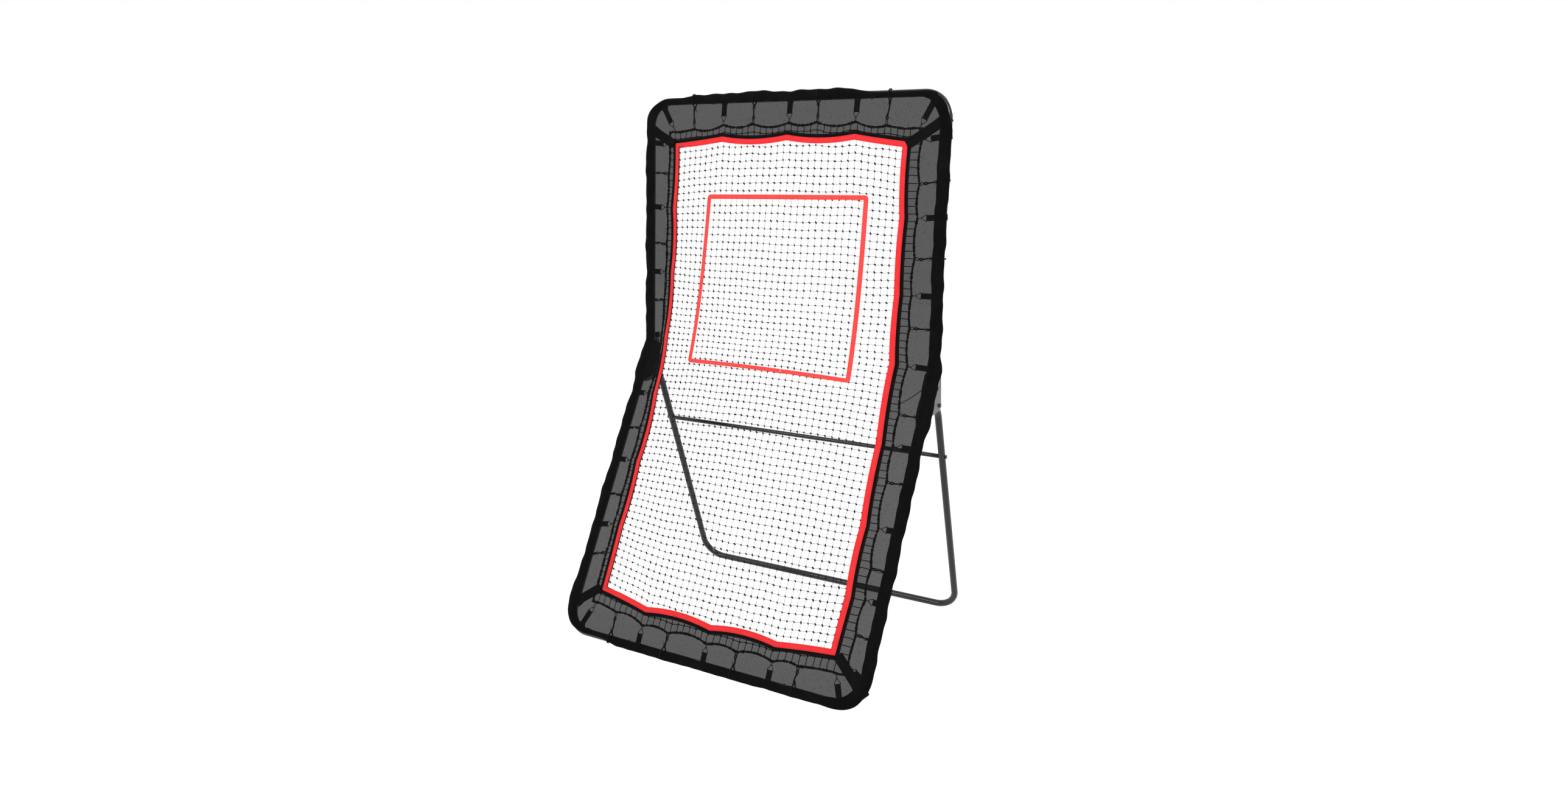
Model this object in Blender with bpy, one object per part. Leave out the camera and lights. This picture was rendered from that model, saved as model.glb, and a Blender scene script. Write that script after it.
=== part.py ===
# Adjustable rebound net: a kinked tube frame, a rear stand that folds, side brackets, and a strung net
# with its borders, mesh skirt, frame band, webbing straps and shock cords. Metres, +Z up, front to -Y.

import math

import bmesh
import bpy
from mathutils import Matrix, Vector

# Driving dimensions of the frame
HALF_WIDTH = 0.590            # side tube centre line to the middle of the part
LOWER_RUN = 1.140             # foot tube centre line to the kink, along the lower panel
UPPER_RUN = 0.916             # kink to the head tube centre line
LOWER_LEAN = math.radians(27.0)
FOOT_Y = -0.4718              # foot tube centre line, so that the part's box is centred on Y = 0
CORNER_R = 0.085              # bend radius of the corner tubes
HEAD_JOINT_X = 0.300          # where the head and foot tubes plug into the corner tubes

# Tube sections
TUBE_R = 0.0127
BORE_R = 0.0112
SPIGOT_R = 0.0103
SPIGOT_RUN = 0.036
SOCKET_RUN = 0.040
JOINT_GAP = 0.0008
TUBE_SIDES = 12
FACET_R = TUBE_R * math.cos(math.pi / TUBE_SIDES)
CLEAR = 0.0004

# Rear stand
STAND_LEAN = math.radians(23.4)
STAND_BACK = 0.955            # stand foot tube behind the frame's foot tube
STAND_CORNER_R = 0.085
STAND_JOINT_LEFT_X = -0.273
STAND_JOINT_RIGHT_X = 0.065
LEG_JOINT_LEFT = 0.330        # heights up the leg from the stand foot tube
LEG_JOINT_RIGHT = 0.602
CROSSBAR_UP = 0.746
CROSSBAR_R = 0.0080
LEG_BEND_UP = 0.920
LEG_BEND_R = 0.070
LEG_BEND_TURN = math.radians(22.0)
LEG_TOP_RUN = 0.036
LEG_TOP_OVER = 0.015

# Side brackets and their bolts
PLATE_T = 0.0025
PLATE_X = HALF_WIDTH + TUBE_R + CLEAR
BOLT_R = 0.0040
BOLT_HOLE_R = 0.0044
HEX_R = 0.0075
HEAD_T = 0.0053
NUT_T = 0.0065
UPPER_TAIL = 0.072            # the upper side tube runs on below the kink by this much
LOCK_REACH = 0.060            # kink to the lock bolt
SLOT_BACK = math.radians(19.4)
SLOT_FRONT = math.radians(31.4)
LOWER_TOP = -0.079            # upper end of the lower side tube
LOWER_BOLTS = (-0.100, -0.142)

# Snap buttons of the plug-in joints
BUTTON_R = 0.0030
BUTTON_HOLE_R = 0.0034
BUTTON_INSET = 0.015          # button behind the mouth of the outer tube
BUTTON_OUT = 0.0026
BUTTON_DEPTH = 0.0050
BUTTON_HOLE_DEPTH = 0.0092

# Net, borders, skirt and band, as depths in front of the tube centre plane
NET_X = -0.014                # the net is strung 14 mm left of the middle
NET_N = 0.0040
NET_T = 0.0030
NET_CORD = 0.0045
NET_HALF = 0.4935
NET_TOP = 0.786
NET_BOTTOM = -1.012
NET_COLUMNS = 10
NET_ROWS_UPPER = 8
NET_ROWS_LOWER = 10
KINK_GAP = 0.007              # soft pieces stop this far from the kink
ROPE_R = 0.0035
ROPE_HALF = 0.5075
ROPE_TOP = 0.8000
ROPE_BOTTOM = -1.0260
ROPE_SAG = 0.006
ROPE_BITE = 0.0055            # hooks and cords reach this far past the rope's tight line
BLACK_TAPE = (0.462, 0.490)   # inner and outer half width
RED_TAPE = (0.459, 0.477)
TAPE_TOP = 0.280              # tape outer half width to tape top: TAPE_TOP + half width
TAPE_BOTTOM = 0.515
TAPE_SAG = 0.012
TAPE_HOLDS = 2                # straps on each side between the kink and the corner
BLACK_TAPE_N = (0.0068, 0.0080)
RED_TAPE_N = (0.0090, 0.0102)
SKIRT_INNER = (0.4935, 0.0086)
SKIRT_OUTER = (0.5690, 0.0146)
SKIRT_T = 0.0008
SKIRT_STATIONS = (0.007, 0.070, 0.140, 0.215, 0.300, 0.400, 0.500)
BAND_IN = 0.0205              # band inside and outside the tube centre line
BAND_OUT = 0.0205
BAND_N = (0.0152, 0.0166)
ZONE_TAPE = 0.0150
ZONE_T = 0.0010
ZONE_N = 0.0085
ZONE_PARTS = 12               # stations along each side of the strike zone
ZONE_UPPER = ((-0.317, 0.577), (0.323, 0.583), (0.317, 0.010), (-0.350, 0.010))
ZONE_LOWER = ((-0.350, -0.010), (0.317, -0.010), (0.317, -0.080), (-0.354, -0.073))
CORNER_STRAP = 0.038
STRAP_ON_BAND_N = 0.0170
STRAP_ON_NET_N = 0.0110

# How far the strung net stands in front of the two panels, because it spans their bend
RIM_RISE = 0.058              # at the borders, beside the kink
RIM_RUN = 0.497               # the borders lie flat from here on
MIDDLE_RISE = 0.123           # in the middle of the net, beside the kink
MIDDLE_RUN = 0.880
RISE_EDGE = 0.560             # half width where nothing stands forward any more
KINK_LEAN = 0.42              # ends at the kink step back by this share of their rise
KINK_FADE = 0.160

# Places where the net is laced to the tubes, along each run
STRAPS_ACROSS = (-0.492, -0.265, 0.0, 0.265, 0.492)
CORDS_ACROSS = (-0.390, -0.135, 0.125, 0.380)
STRAPS_UP = (0.255, 0.515, 0.770)
CORDS_UP = (0.140, 0.385, 0.640)
STRAPS_DOWN_LEFT = (-0.215, -0.486, -0.747)
CORDS_DOWN_LEFT = (-0.358, -0.625, -0.863)
STRAPS_DOWN_RIGHT = (-0.285, -0.567, -0.808)
CORDS_DOWN_RIGHT = (-0.407, -0.704, -0.925)
STRAP_W = 0.0200
STRAP_T = 0.0012
STRAP_CLEAR = 0.0010
FULL_WRAP = (150.0, -170.0)
BACK_WRAP = (-168.0, 0.0)
STRAP_REACH = 0.047           # tube centre line to the strap's inner fold
RING_RUN = 0.024
RING_ROD = 0.0014
HOOK_R = 0.0021
CORD_R = 0.0022
BALL_R = 0.0042

X_AXIS = Vector((1.0, 0.0, 0.0))
KINK = Vector((0.0, FOOT_Y + LOWER_RUN * math.sin(LOWER_LEAN), FACET_R + LOWER_RUN * math.cos(LOWER_LEAN)))


class Panel:
    # A flat panel: points are given by x, by s up the panel from the origin, and by n towards the front.
    def __init__(self, origin, lean):
        self.origin = origin
        self.up = Vector((0.0, math.sin(lean), math.cos(lean)))
        self.front = Vector((0.0, -math.cos(lean), math.sin(lean)))

    def at(self, x, s, n=0.0):
        return self.origin + x * X_AXIS + s * self.up + n * self.front

    def along(self, dx, ds):
        return dx * X_AXIS + ds * self.up

    def strung(self, x, s, n):
        # A point of the strung net or of what is sewn to it.
        rise = net_rise(x, abs(s))
        fade = max(0.0, 1.0 - abs(s) / KINK_FADE) ** 2
        return self.at(x, s + math.copysign(KINK_LEAN * rise * fade, s), n + rise)


def net_rise(x, run):
    # How far the net stands forward at x, this far up or down from the kink.
    rim = RIM_RISE * max(0.0, 1.0 - run / RIM_RUN) ** 2
    middle = MIDDLE_RISE * max(0.0, 1.0 - run / MIDDLE_RUN)
    half = abs(x - NET_X)
    if half >= NET_HALF:
        return rim * max(0.0, (RISE_EDGE - half) / (RISE_EDGE - NET_HALF))
    # The bow across is straight between one lengthwise cord and the next.
    cords = 0.5 * NET_COLUMNS
    place = half / NET_HALF * cords
    low = math.floor(place)
    bows = [1.0 - (cord / cords) ** 2 for cord in (low, low + 1)]
    bow = bows[0] + (bows[1] - bows[0]) * (place - low)
    return rim + (middle - rim) * bow


UPPER = Panel(KINK, 0.0)
LOWER = Panel(KINK, LOWER_LEAN)
STAND = Panel(Vector((0.0, FOOT_Y + STAND_BACK, FACET_R)), -STAND_LEAN)


def clear_scene():
    for thing in list(bpy.data.objects):
        bpy.data.objects.remove(thing)


def make_material(name, colour, roughness, metallic=0.0):
    material = bpy.data.materials.new(name)
    material.use_nodes = True
    shader = material.node_tree.nodes["Principled BSDF"]
    shader.inputs["Base Color"].default_value = (*colour, 1.0)
    shader.inputs["Roughness"].default_value = roughness
    shader.inputs["Metallic"].default_value = metallic
    return material


BLACK_PAINT = ((0.012, 0.012, 0.013), 0.25, 0.0)
ZINC = ((0.55, 0.56, 0.56), 0.35, 1.0)
BLACK_WEB = ((0.006, 0.006, 0.006), 0.85, 0.0)
RED_WEB = ((0.90, 0.04, 0.04), 0.70, 0.0)
GREY_MESH = ((0.030, 0.030, 0.030), 0.90, 0.0)
NET_BLACK = ((0.010, 0.010, 0.010), 0.80, 0.0)


def make_object(name, mesh, finish):
    mesh.materials.append(make_material(name + "_finish", *finish))
    thing = bpy.data.objects.new(name, mesh)
    bpy.context.scene.collection.objects.link(thing)
    return thing


def face_outwards(work, faces):
    # Turns the faces of one closed body to face out, by the sign of the volume they hold.
    volume = 0.0
    for face in faces:
        corners = [vert.co for vert in face.verts]
        for k in range(1, len(corners) - 1):
            volume += corners[0].dot(corners[k].cross(corners[k + 1]))
    if volume < 0.0:
        bmesh.ops.reverse_faces(work, faces=faces)


def finish_mesh(name, work, finish, origin=None, smooth=True):
    mesh = bpy.data.meshes.new(name)
    work.to_mesh(mesh)
    work.free()
    if smooth:
        mesh.shade_smooth()
        mesh.set_sharp_from_angle(angle=math.radians(40.0))
    thing = make_object(name, mesh, finish)
    if origin is not None:
        mesh.transform(Matrix.Translation(-origin))
        thing.location = origin
    return thing


def add_rings(work, rings, split=False):
    # Joins rings of points into one closed skin, with a flat cap at each end. Split cuts the quads of a sheet
    # into triangles, alike on its two faces, each cut ending at the inner edge on the side of the nearer end.
    loops = [[work.verts.new(point) for point in ring] for ring in rings]
    faces = []
    for index, (ring, following) in enumerate(zip(loops, loops[1:])):
        for k in range(len(ring)):
            after = (k + 1) % len(ring)
            if not split:
                faces.append(work.faces.new((ring[k], ring[after], following[after], following[k])))
            elif (k < 2) == (2 * index >= len(loops) - 1):
                faces.append(work.faces.new((ring[k], ring[after], following[after])))
                faces.append(work.faces.new((ring[k], following[after], following[k])))
            else:
                faces.append(work.faces.new((ring[k], ring[after], following[k])))
                faces.append(work.faces.new((ring[after], following[after], following[k])))
    faces.append(work.faces.new(list(reversed(loops[0]))))
    faces.append(work.faces.new(loops[-1]))
    face_outwards(work, faces)


def round_ring(centre, side, front, radius, sides=TUBE_SIDES, phase=0.0):
    ring = []
    for k in range(sides):
        angle = phase + (k + 0.5) * 2.0 * math.pi / sides
        ring.append(centre + radius * (math.cos(angle) * side + math.sin(angle) * front))
    return ring


def tube_stations(path, start, end):
    # A path of (point, tangent) becomes stations with a radius, and each end gets its plug or its socket.
    first, first_way = path[0]
    last, last_way = path[-1]
    stations = []
    if start == "male":
        stations.append((first - SPIGOT_RUN * first_way, first_way, SPIGOT_R))
        stations.append((first, first_way, SPIGOT_R))
    if start == "female":
        stations.append((first + SOCKET_RUN * first_way, first_way, BORE_R))
        stations.append((first, first_way, BORE_R))
    stations += [(point, way, TUBE_R) for point, way in path]
    if end == "male":
        stations.append((last, last_way, SPIGOT_R))
        stations.append((last + SPIGOT_RUN * last_way, last_way, SPIGOT_R))
    if end == "female":
        stations.append((last, last_way, BORE_R))
        stations.append((last - SOCKET_RUN * last_way, last_way, BORE_R))
    return stations


def add_tube(name, path, normal, start="plain", end="plain", phase=0.0, radius=TUBE_R, origin=None):
    # The path lies in a plane with the given normal, and the section keeps that normal as its own axis.
    work = bmesh.new()
    rings = []
    for point, way, size in tube_stations(path, start, end):
        side = way.cross(normal).normalized()
        rings.append(round_ring(point, side, normal, size * radius / TUBE_R, phase=phase))
    add_rings(work, rings)
    return finish_mesh(name, work, BLACK_PAINT, origin)


def corner_path(panel, side, joint_x, base_s, end_s, bend, steps=6):
    # From the joint on the cross run, round the corner and along the side run to end_s.
    up = 1.0 if end_s > base_s else -1.0
    path = [(panel.at(joint_x, base_s), panel.along(side, 0.0))]
    centre_x = side * (HALF_WIDTH - bend)
    centre_s = base_s + up * bend
    for k in range(steps + 1):
        angle = 0.5 * math.pi * k / steps
        x = centre_x + side * bend * math.sin(angle)
        s = centre_s - up * bend * math.cos(angle)
        path.append((panel.at(x, s), panel.along(side * math.cos(angle), up * math.sin(angle))))
    path.append((panel.at(side * HALF_WIDTH, end_s), panel.along(0.0, up)))
    return path


def straight_path(start, end):
    way = (end - start).normalized()
    return [(start, way), (end, way)]


def cutter(name, work):
    mesh = bpy.data.meshes.new(name)
    work.to_mesh(mesh)
    work.free()
    thing = bpy.data.objects.new(name, mesh)
    bpy.context.scene.collection.objects.link(thing)
    thing.hide_render = True
    thing.hide_set(True)
    thing.display_type = "WIRE"
    return thing


def rod_between(work, start, end, radius, sides=8):
    way = (end - start).normalized()
    side = way.orthogonal().normalized()
    front = way.cross(side)
    add_rings(work, [round_ring(point, side, front, radius, sides) for point in (start, end)])


def cut(thing, name, pairs, radius, sides=8):
    # Drills one hole for each start and end in pairs.
    for number, (start, end) in enumerate(pairs):
        work = bmesh.new()
        rod_between(work, start, end, radius, sides)
        apply_boolean(thing, cutter(f"{name}_{number}", work), "DIFFERENCE")


def apply_boolean(thing, other, operation):
    step = thing.modifiers.new(other.name, "BOOLEAN")
    step.operation = operation
    step.solver = "EXACT"
    step.object = other


def drill_across(thing, name, side, places):
    # Bolt holes that run along X through one side's tube.
    reach = 0.020
    pairs = [(place + side * (HALF_WIDTH - reach) * X_AXIS, place + side * (HALF_WIDTH + reach) * X_AXIS)
             for place in places]
    cut(thing, name, pairs, BOLT_HOLE_R)


def button_axis(place, outward):
    return place + (TUBE_R + 0.004) * outward, place + (TUBE_R - BUTTON_HOLE_DEPTH) * outward


def add_button(name, outer, inner, place, outward):
    # A snap button stands in a hole through the outer tube and the plug inside it.
    start, end = button_axis(place, outward)
    cut(outer, name + "_hole_outer", [(start, end)], BUTTON_HOLE_R, 8)
    cut(inner, name + "_hole_inner", [(start, end)], BUTTON_HOLE_R, 8)
    side = outward.orthogonal().normalized()
    front = outward.cross(side)
    profile = (
        (TUBE_R - BUTTON_DEPTH, BUTTON_R),
        (TUBE_R + BUTTON_OUT * 0.55, BUTTON_R),
        (TUBE_R + BUTTON_OUT * 0.90, BUTTON_R * 0.72),
        (TUBE_R + BUTTON_OUT, BUTTON_R * 0.35),
    )
    work = bmesh.new()
    rings = [round_ring(place + reach * outward, side, front, radius, 8) for reach, radius in profile]
    add_rings(work, rings)
    return finish_mesh(name, work, ZINC, place)


def add_frame_tubes(prefix, panel, cross_s, side_end_s, cross_name, phase):
    # The cross tube plugs into two corner tubes, whose side runs end in the brackets.
    joint = HEAD_JOINT_X - JOINT_GAP
    cross = add_tube(
        f"{prefix}_{cross_name}_tube",
        straight_path(panel.at(-joint, cross_s), panel.at(joint, cross_s)),
        panel.front, "male", "male", phase,
    )
    inward = 1.0 if side_end_s > cross_s else -1.0
    for side, word in ((-1.0, "left"), (1.0, "right")):
        path = corner_path(panel, side, side * HEAD_JOINT_X, cross_s, side_end_s, CORNER_R)
        corner = add_tube(f"{prefix}_side_tube_{word}", path, panel.front, "female", "plain", side * phase)
        place = panel.at(side * (HEAD_JOINT_X + BUTTON_INSET), cross_s)
        add_button(f"{prefix}_snap_button_{word}", corner, cross, place, panel.along(0.0, inward))
        if prefix == "upper":
            drill_across(corner, "upper_cross_hole_" + word, side, (KINK, UPPER.at(0.0, -LOCK_REACH)))
        else:
            drill_across(corner, "lower_cross_hole_" + word, side, [LOWER.at(0.0, s) for s in LOWER_BOLTS])


def leg_top(side):
    # The top of a leg bends forwards to the stand pivot, in the plane of the bracket.
    straight = STAND.at(side * HALF_WIDTH, LEG_BEND_UP)
    path = [(straight, STAND.up.copy())]
    back = -STAND.front
    for k in range(1, 5):
        turn = LEG_BEND_TURN * k / 4
        point = straight + LEG_BEND_R * (math.sin(turn) * STAND.up + (1.0 - math.cos(turn)) * STAND.front)
        path.append((point, math.cos(turn) * STAND.up - math.sin(turn) * back))
    point, way = path[-1]
    pivot = point + LEG_TOP_RUN * way
    path.append((pivot + LEG_TOP_OVER * way, way))
    return path, pivot


def stand_pivot():
    pivot = leg_top(0.0)[1]
    return Vector((0.0, pivot.y, pivot.z))


def add_stand_tubes():
    phase = STAND_LEAN
    foot = add_tube(
        "stand_foot_tube",
        straight_path(STAND.at(STAND_JOINT_LEFT_X + JOINT_GAP, 0.0), STAND.at(STAND_JOINT_RIGHT_X, 0.0)),
        STAND.front, "male", "female", phase,
    )
    left_path = corner_path(STAND, -1.0, STAND_JOINT_LEFT_X, 0.0, LEG_JOINT_LEFT - JOINT_GAP, STAND_CORNER_R)
    left = add_tube("stand_corner_tube_left", left_path, STAND.front, "female", "male", -phase)
    right_start = STAND_JOINT_RIGHT_X + JOINT_GAP
    right_path = corner_path(STAND, 1.0, right_start, 0.0, LEG_JOINT_RIGHT, STAND_CORNER_R)
    right = add_tube("stand_corner_tube_right", right_path, STAND.front, "male", "female", phase)
    legs = {}
    for side, word, joint, kind in ((-1.0, "left", LEG_JOINT_LEFT, "female"),
                                    (1.0, "right", LEG_JOINT_RIGHT + JOINT_GAP, "male")):
        path = [(STAND.at(side * HALF_WIDTH, joint), STAND.up.copy())] + leg_top(side)[0]
        leg = add_tube(f"stand_leg_tube_{word}", path, X_AXIS, kind, "plain")
        drill_across(leg, "leg_cross_hole_" + word, side, (stand_pivot(), STAND.at(0.0, CROSSBAR_UP)))
        legs[word] = leg
    along = STAND.up
    add_button("stand_snap_button_foot_left", left, foot,
               STAND.at(STAND_JOINT_LEFT_X - BUTTON_INSET, 0.0), along)
    add_button("stand_snap_button_foot_right", foot, right,
               STAND.at(STAND_JOINT_RIGHT_X - BUTTON_INSET, 0.0), along)
    outward = (STAND.front - X_AXIS).normalized()
    add_button("stand_snap_button_leg_left", legs["left"], left,
               STAND.at(-HALF_WIDTH, LEG_JOINT_LEFT + BUTTON_INSET), outward)
    add_button("stand_snap_button_leg_right", right, legs["right"],
               STAND.at(HALF_WIDTH, LEG_JOINT_RIGHT - BUTTON_INSET), -STAND.front)


def add_crossbar():
    half = HALF_WIDTH - TUBE_R - CLEAR
    ends = [STAND.at(-half, CROSSBAR_UP), STAND.at(half, CROSSBAR_UP)]
    bar = add_tube("stand_crossbar", straight_path(*ends), STAND.front, radius=CROSSBAR_R)
    for side, word in ((-1.0, "left"), (1.0, "right")):
        tip = STAND.at(side * (half - 0.022), CROSSBAR_UP)
        cut(bar, "crossbar_hole_" + word, [(tip, STAND.at(side * (half + 0.004), CROSSBAR_UP))], BOLT_HOLE_R)
        head = STAND.at(side * (HALF_WIDTH + TUBE_R + CLEAR), CROSSBAR_UP)
        add_bolt(f"crossbar_bolt_{word}", head, side, head.x - side * 0.038, nut_at=None)


def hex_rings(work, profile, place, side):
    rings = []
    for x, radius in profile:
        centre = Vector((x, place.y, place.z))
        rings.append(round_ring(centre, Vector((0.0, 1.0, 0.0)), Vector((0.0, 0.0, side)), radius, 6))
    add_rings(work, rings)


def add_bolt(name, head, side, tip_x, nut_at):
    # A bolt along X: hexagon head outside, shank through, and a nut where nut_at gives one.
    profile = [(head.x + side * HEAD_T, HEX_R * 0.92), (head.x + side * HEAD_T * 0.85, HEX_R),
               (head.x, HEX_R), (head.x, BOLT_R)]
    if nut_at is not None:
        profile += [(nut_at, BOLT_R), (nut_at, HEX_R), (nut_at - side * NUT_T, HEX_R),
                    (nut_at - side * NUT_T, BOLT_R)]
    profile.append((tip_x, BOLT_R))
    work = bmesh.new()
    hex_rings(work, profile, head, side)
    return finish_mesh(name, work, ZINC, smooth=False)


def plate_outline():
    # The convex outline round three bosses: upper pivot, lower tube bolts and stand pivot.
    pivot = stand_pivot()
    bosses = (
        (KINK.y + 0.0075, KINK.z, 0.0212),
        (LOWER.at(0.0, LOWER_BOLTS[1], -0.0075).y, LOWER.at(0.0, LOWER_BOLTS[1], -0.0075).z, 0.0215),
        (pivot.y, pivot.z - 0.001, 0.0185),
    )
    points = []
    for y, z, radius in bosses:
        for k in range(20):
            angle = 2.0 * math.pi * k / 20
            points.append(Vector((0.0, y + radius * math.cos(angle), z + radius * math.sin(angle))))
    return points


def add_plates():
    # Each side has an outer and an inner plate, which hold the tube ends between them.
    for side, word in ((-1.0, "left"), (1.0, "right")):
        for layer, start in (("outer", PLATE_X), ("inner", 2.0 * HALF_WIDTH - PLATE_X - PLATE_T)):
            near = side * start
            far = side * (start + PLATE_T)
            work = bmesh.new()
            for point in plate_outline():
                work.verts.new((near, point.y, point.z))
                work.verts.new((far, point.y, point.z))
            hull = bmesh.ops.convex_hull(work, input=work.verts)
            leftover = [item for item in hull["geom_interior"] if isinstance(item, bmesh.types.BMVert)]
            bmesh.ops.delete(work, geom=leftover, context="VERTS")
            bmesh.ops.dissolve_limit(work, angle_limit=math.radians(1.0), verts=work.verts, edges=work.edges)
            face_outwards(work, work.faces)
            name = f"hinge_plate_{word}_{layer}"
            plate = finish_mesh(name, work, ZINC, smooth=False)
            places = [KINK, stand_pivot()] + [LOWER.at(0.0, s) for s in LOWER_BOLTS]
            middle = side * (start + 0.5 * PLATE_T)
            pairs = [(place + (middle - 0.004) * X_AXIS, place + (middle + 0.004) * X_AXIS)
                     for place in places]
            cut(plate, name + "_hole", pairs, BOLT_HOLE_R)
            apply_boolean(plate, slot_cutter(name + "_slot", middle), "DIFFERENCE")


def slot_cutter(name, middle):
    # The arc slot for the lock bolt, centred on the upper pivot.
    work = bmesh.new()
    rings = []
    steps = 8
    for k in range(steps + 1):
        angle = -SLOT_FRONT + (SLOT_FRONT + SLOT_BACK) * k / steps
        ring = []
        for reach, depth in ((-1.0, -0.004), (1.0, -0.004), (1.0, 0.004), (-1.0, 0.004)):
            radius = LOCK_REACH + reach * BOLT_HOLE_R
            ring.append(KINK + Vector((middle + depth, radius * math.sin(angle), -radius * math.cos(angle))))
        rings.append(ring)
    add_rings(work, rings)
    slot = cutter(name, work)
    return slot


def add_hinge_bolts():
    pivot = stand_pivot()
    places = {
        "upper_pivot_bolt": KINK,
        "upper_lock_bolt": UPPER.at(0.0, -LOCK_REACH),
        "lower_bolt_top": LOWER.at(0.0, LOWER_BOLTS[0]),
        "lower_bolt_bottom": LOWER.at(0.0, LOWER_BOLTS[1]),
        "stand_pivot_bolt": pivot,
    }
    for side, word in ((-1.0, "left"), (1.0, "right")):
        head_x = side * (PLATE_X + PLATE_T + CLEAR)
        nut_x = side * (2.0 * HALF_WIDTH - PLATE_X - PLATE_T - CLEAR)
        for name, place in places.items():
            head = Vector((head_x, place.y, place.z))
            add_bolt(f"{name}_{word}", head, side, nut_x - side * (NUT_T + 0.003), nut_x)


def add_netting(name, panel, low_s, high_s, rows):
    # The strung net: flat cords of one width with open gaps between them, all in one solid.
    xs = []
    for column in range(NET_COLUMNS + 1):
        middle = NET_X - NET_HALF + 2.0 * NET_HALF * column / NET_COLUMNS
        xs += [middle - 0.5 * NET_CORD, middle + 0.5 * NET_CORD]
    levels = []
    for row in range(rows + 1):
        middle = low_s + (high_s - low_s) * row / rows
        levels += [middle - 0.5 * NET_CORD, middle + 0.5 * NET_CORD]
    work = bmesh.new()
    grid = [[work.verts.new(panel.strung(x, s, NET_N - 0.5 * NET_T)) for x in xs] for s in levels]
    faces = []
    for j in range(len(levels) - 1):
        for i in range(len(xs) - 1):
            if i % 2 == 1 and j % 2 == 1:
                continue
            faces.append(work.faces.new((grid[j][i], grid[j][i + 1], grid[j + 1][i + 1], grid[j + 1][i])))
    raised = bmesh.ops.extrude_face_region(work, geom=faces)
    moved = [item for item in raised["geom"] if isinstance(item, bmesh.types.BMVert)]
    bmesh.ops.translate(work, verts=moved, vec=NET_T * panel.front)
    bmesh.ops.recalc_face_normals(work, faces=work.faces)
    face_outwards(work, work.faces)
    return finish_mesh(name, work, NET_BLACK, smooth=False)


def sagging_run(anchors, depth, parts):
    # Places along a border that is held at its anchors, each with how far the border hangs in there.
    run = []
    for low, high in zip(anchors, anchors[1:]):
        for k in range(parts):
            part = k / parts
            run.append((low + (high - low) * part, depth * 4.0 * part * (1.0 - part)))
    run.append((anchors[-1], 0.0))
    return run


def rim_path(half, cross_s, end_s, side_anchors, across_anchors, depth, parts):
    # The U-shaped line of a border: up the left side, across, and down the right side. Each point has
    # its x and s and the unit steps towards the middle of the net.
    outward = 1.0 if cross_s > end_s else -1.0
    sides = []
    for side, anchors in zip((-1.0, 1.0), side_anchors):
        held = (abs(end_s),) + tuple(anchors) + (abs(cross_s),)
        run = sagging_run(held, depth, parts)[:-1]
        sides.append([(NET_X + side * (half - hang), outward * s, -side, 0.0) for s, hang in run])
    held = (-half,) + tuple(across_anchors) + (half,)
    across = sagging_run(held, depth, parts)[1:-1]
    path = sides[0]
    path.append((NET_X - half, cross_s, 1.0, -outward))
    path += [(NET_X + x, cross_s - outward * hang, 0.0, -outward) for x, hang in across]
    path.append((NET_X + half, cross_s, -1.0, -outward))
    path += reversed(sides[1])
    return path


def add_border(name, panel, path, section, finish):
    # Carries a four-cornered section of (inward, n) points along a border line.
    work = bmesh.new()
    rings = []
    for x, s, step_x, step_s in path:
        rings.append([panel.strung(x + inward * step_x, s + inward * step_s, n) for inward, n in section])
    add_rings(work, rings)
    return finish_mesh(name, work, finish, smooth=False)


def flat_section(tape, layers):
    # A tape's section, with its edges measured inwards from the outer edge of the binding.
    near, far = BLACK_TAPE[1] - tape[1], BLACK_TAPE[1] - tape[0]
    low, high = layers
    return ((near, low), (far, low), (far, high), (near, high))


def add_borders(prefix, panel, sign, side_straps, tape_end):
    # Black binding, red border, mesh skirt and frame band of one panel.
    reach = TAPE_TOP if sign > 0.0 else TAPE_BOTTOM
    sides = [sorted(abs(place) for place in places)[:TAPE_HOLDS] for places in side_straps]
    across = [x - NET_X for x in STRAPS_ACROSS[1:-1]]
    half = BLACK_TAPE[1]
    path = rim_path(half, sign * (reach + half), sign * KINK_GAP, sides, across, TAPE_SAG, 3)
    for name, tape, layers, finish in (("binding_black", BLACK_TAPE, BLACK_TAPE_N, BLACK_WEB),
                                       ("border_red", RED_TAPE, RED_TAPE_N, RED_WEB)):
        add_border(f"{name}_{prefix}", panel, path, flat_section(tape, layers), finish)
    inner, inner_n = SKIRT_INNER
    outer, outer_n = SKIRT_OUTER
    cross = sign * (tape_end - BAND_IN - CLEAR)
    inner_cross = sign * (reach + BLACK_TAPE[1] + 0.003)
    runs = [sign * run for run in SKIRT_STATIONS]
    stations = [(-outer, s, -inner, s) for s in runs] + [(-outer, cross, -inner, inner_cross)]
    stations += [(share * outer, cross, share * inner, inner_cross) for share in (-0.5, 0.0, 0.5)]
    stations += [(outer, cross, inner, inner_cross)] + [(outer, s, inner, s) for s in reversed(runs)]
    work = bmesh.new()
    rings = []
    for x, s, half, inner_s in stations:
        rings.append([panel.at(x, s, outer_n - SKIRT_T), panel.at(x, s, outer_n),
                      panel.strung(NET_X + half, inner_s, inner_n + SKIRT_T),
                      panel.strung(NET_X + half, inner_s, inner_n)])
    add_rings(work, rings, split=True)
    finish_mesh("mesh_skirt_" + prefix, work, GREY_MESH, smooth=False)
    add_band(prefix, panel, sign, tape_end)


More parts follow.
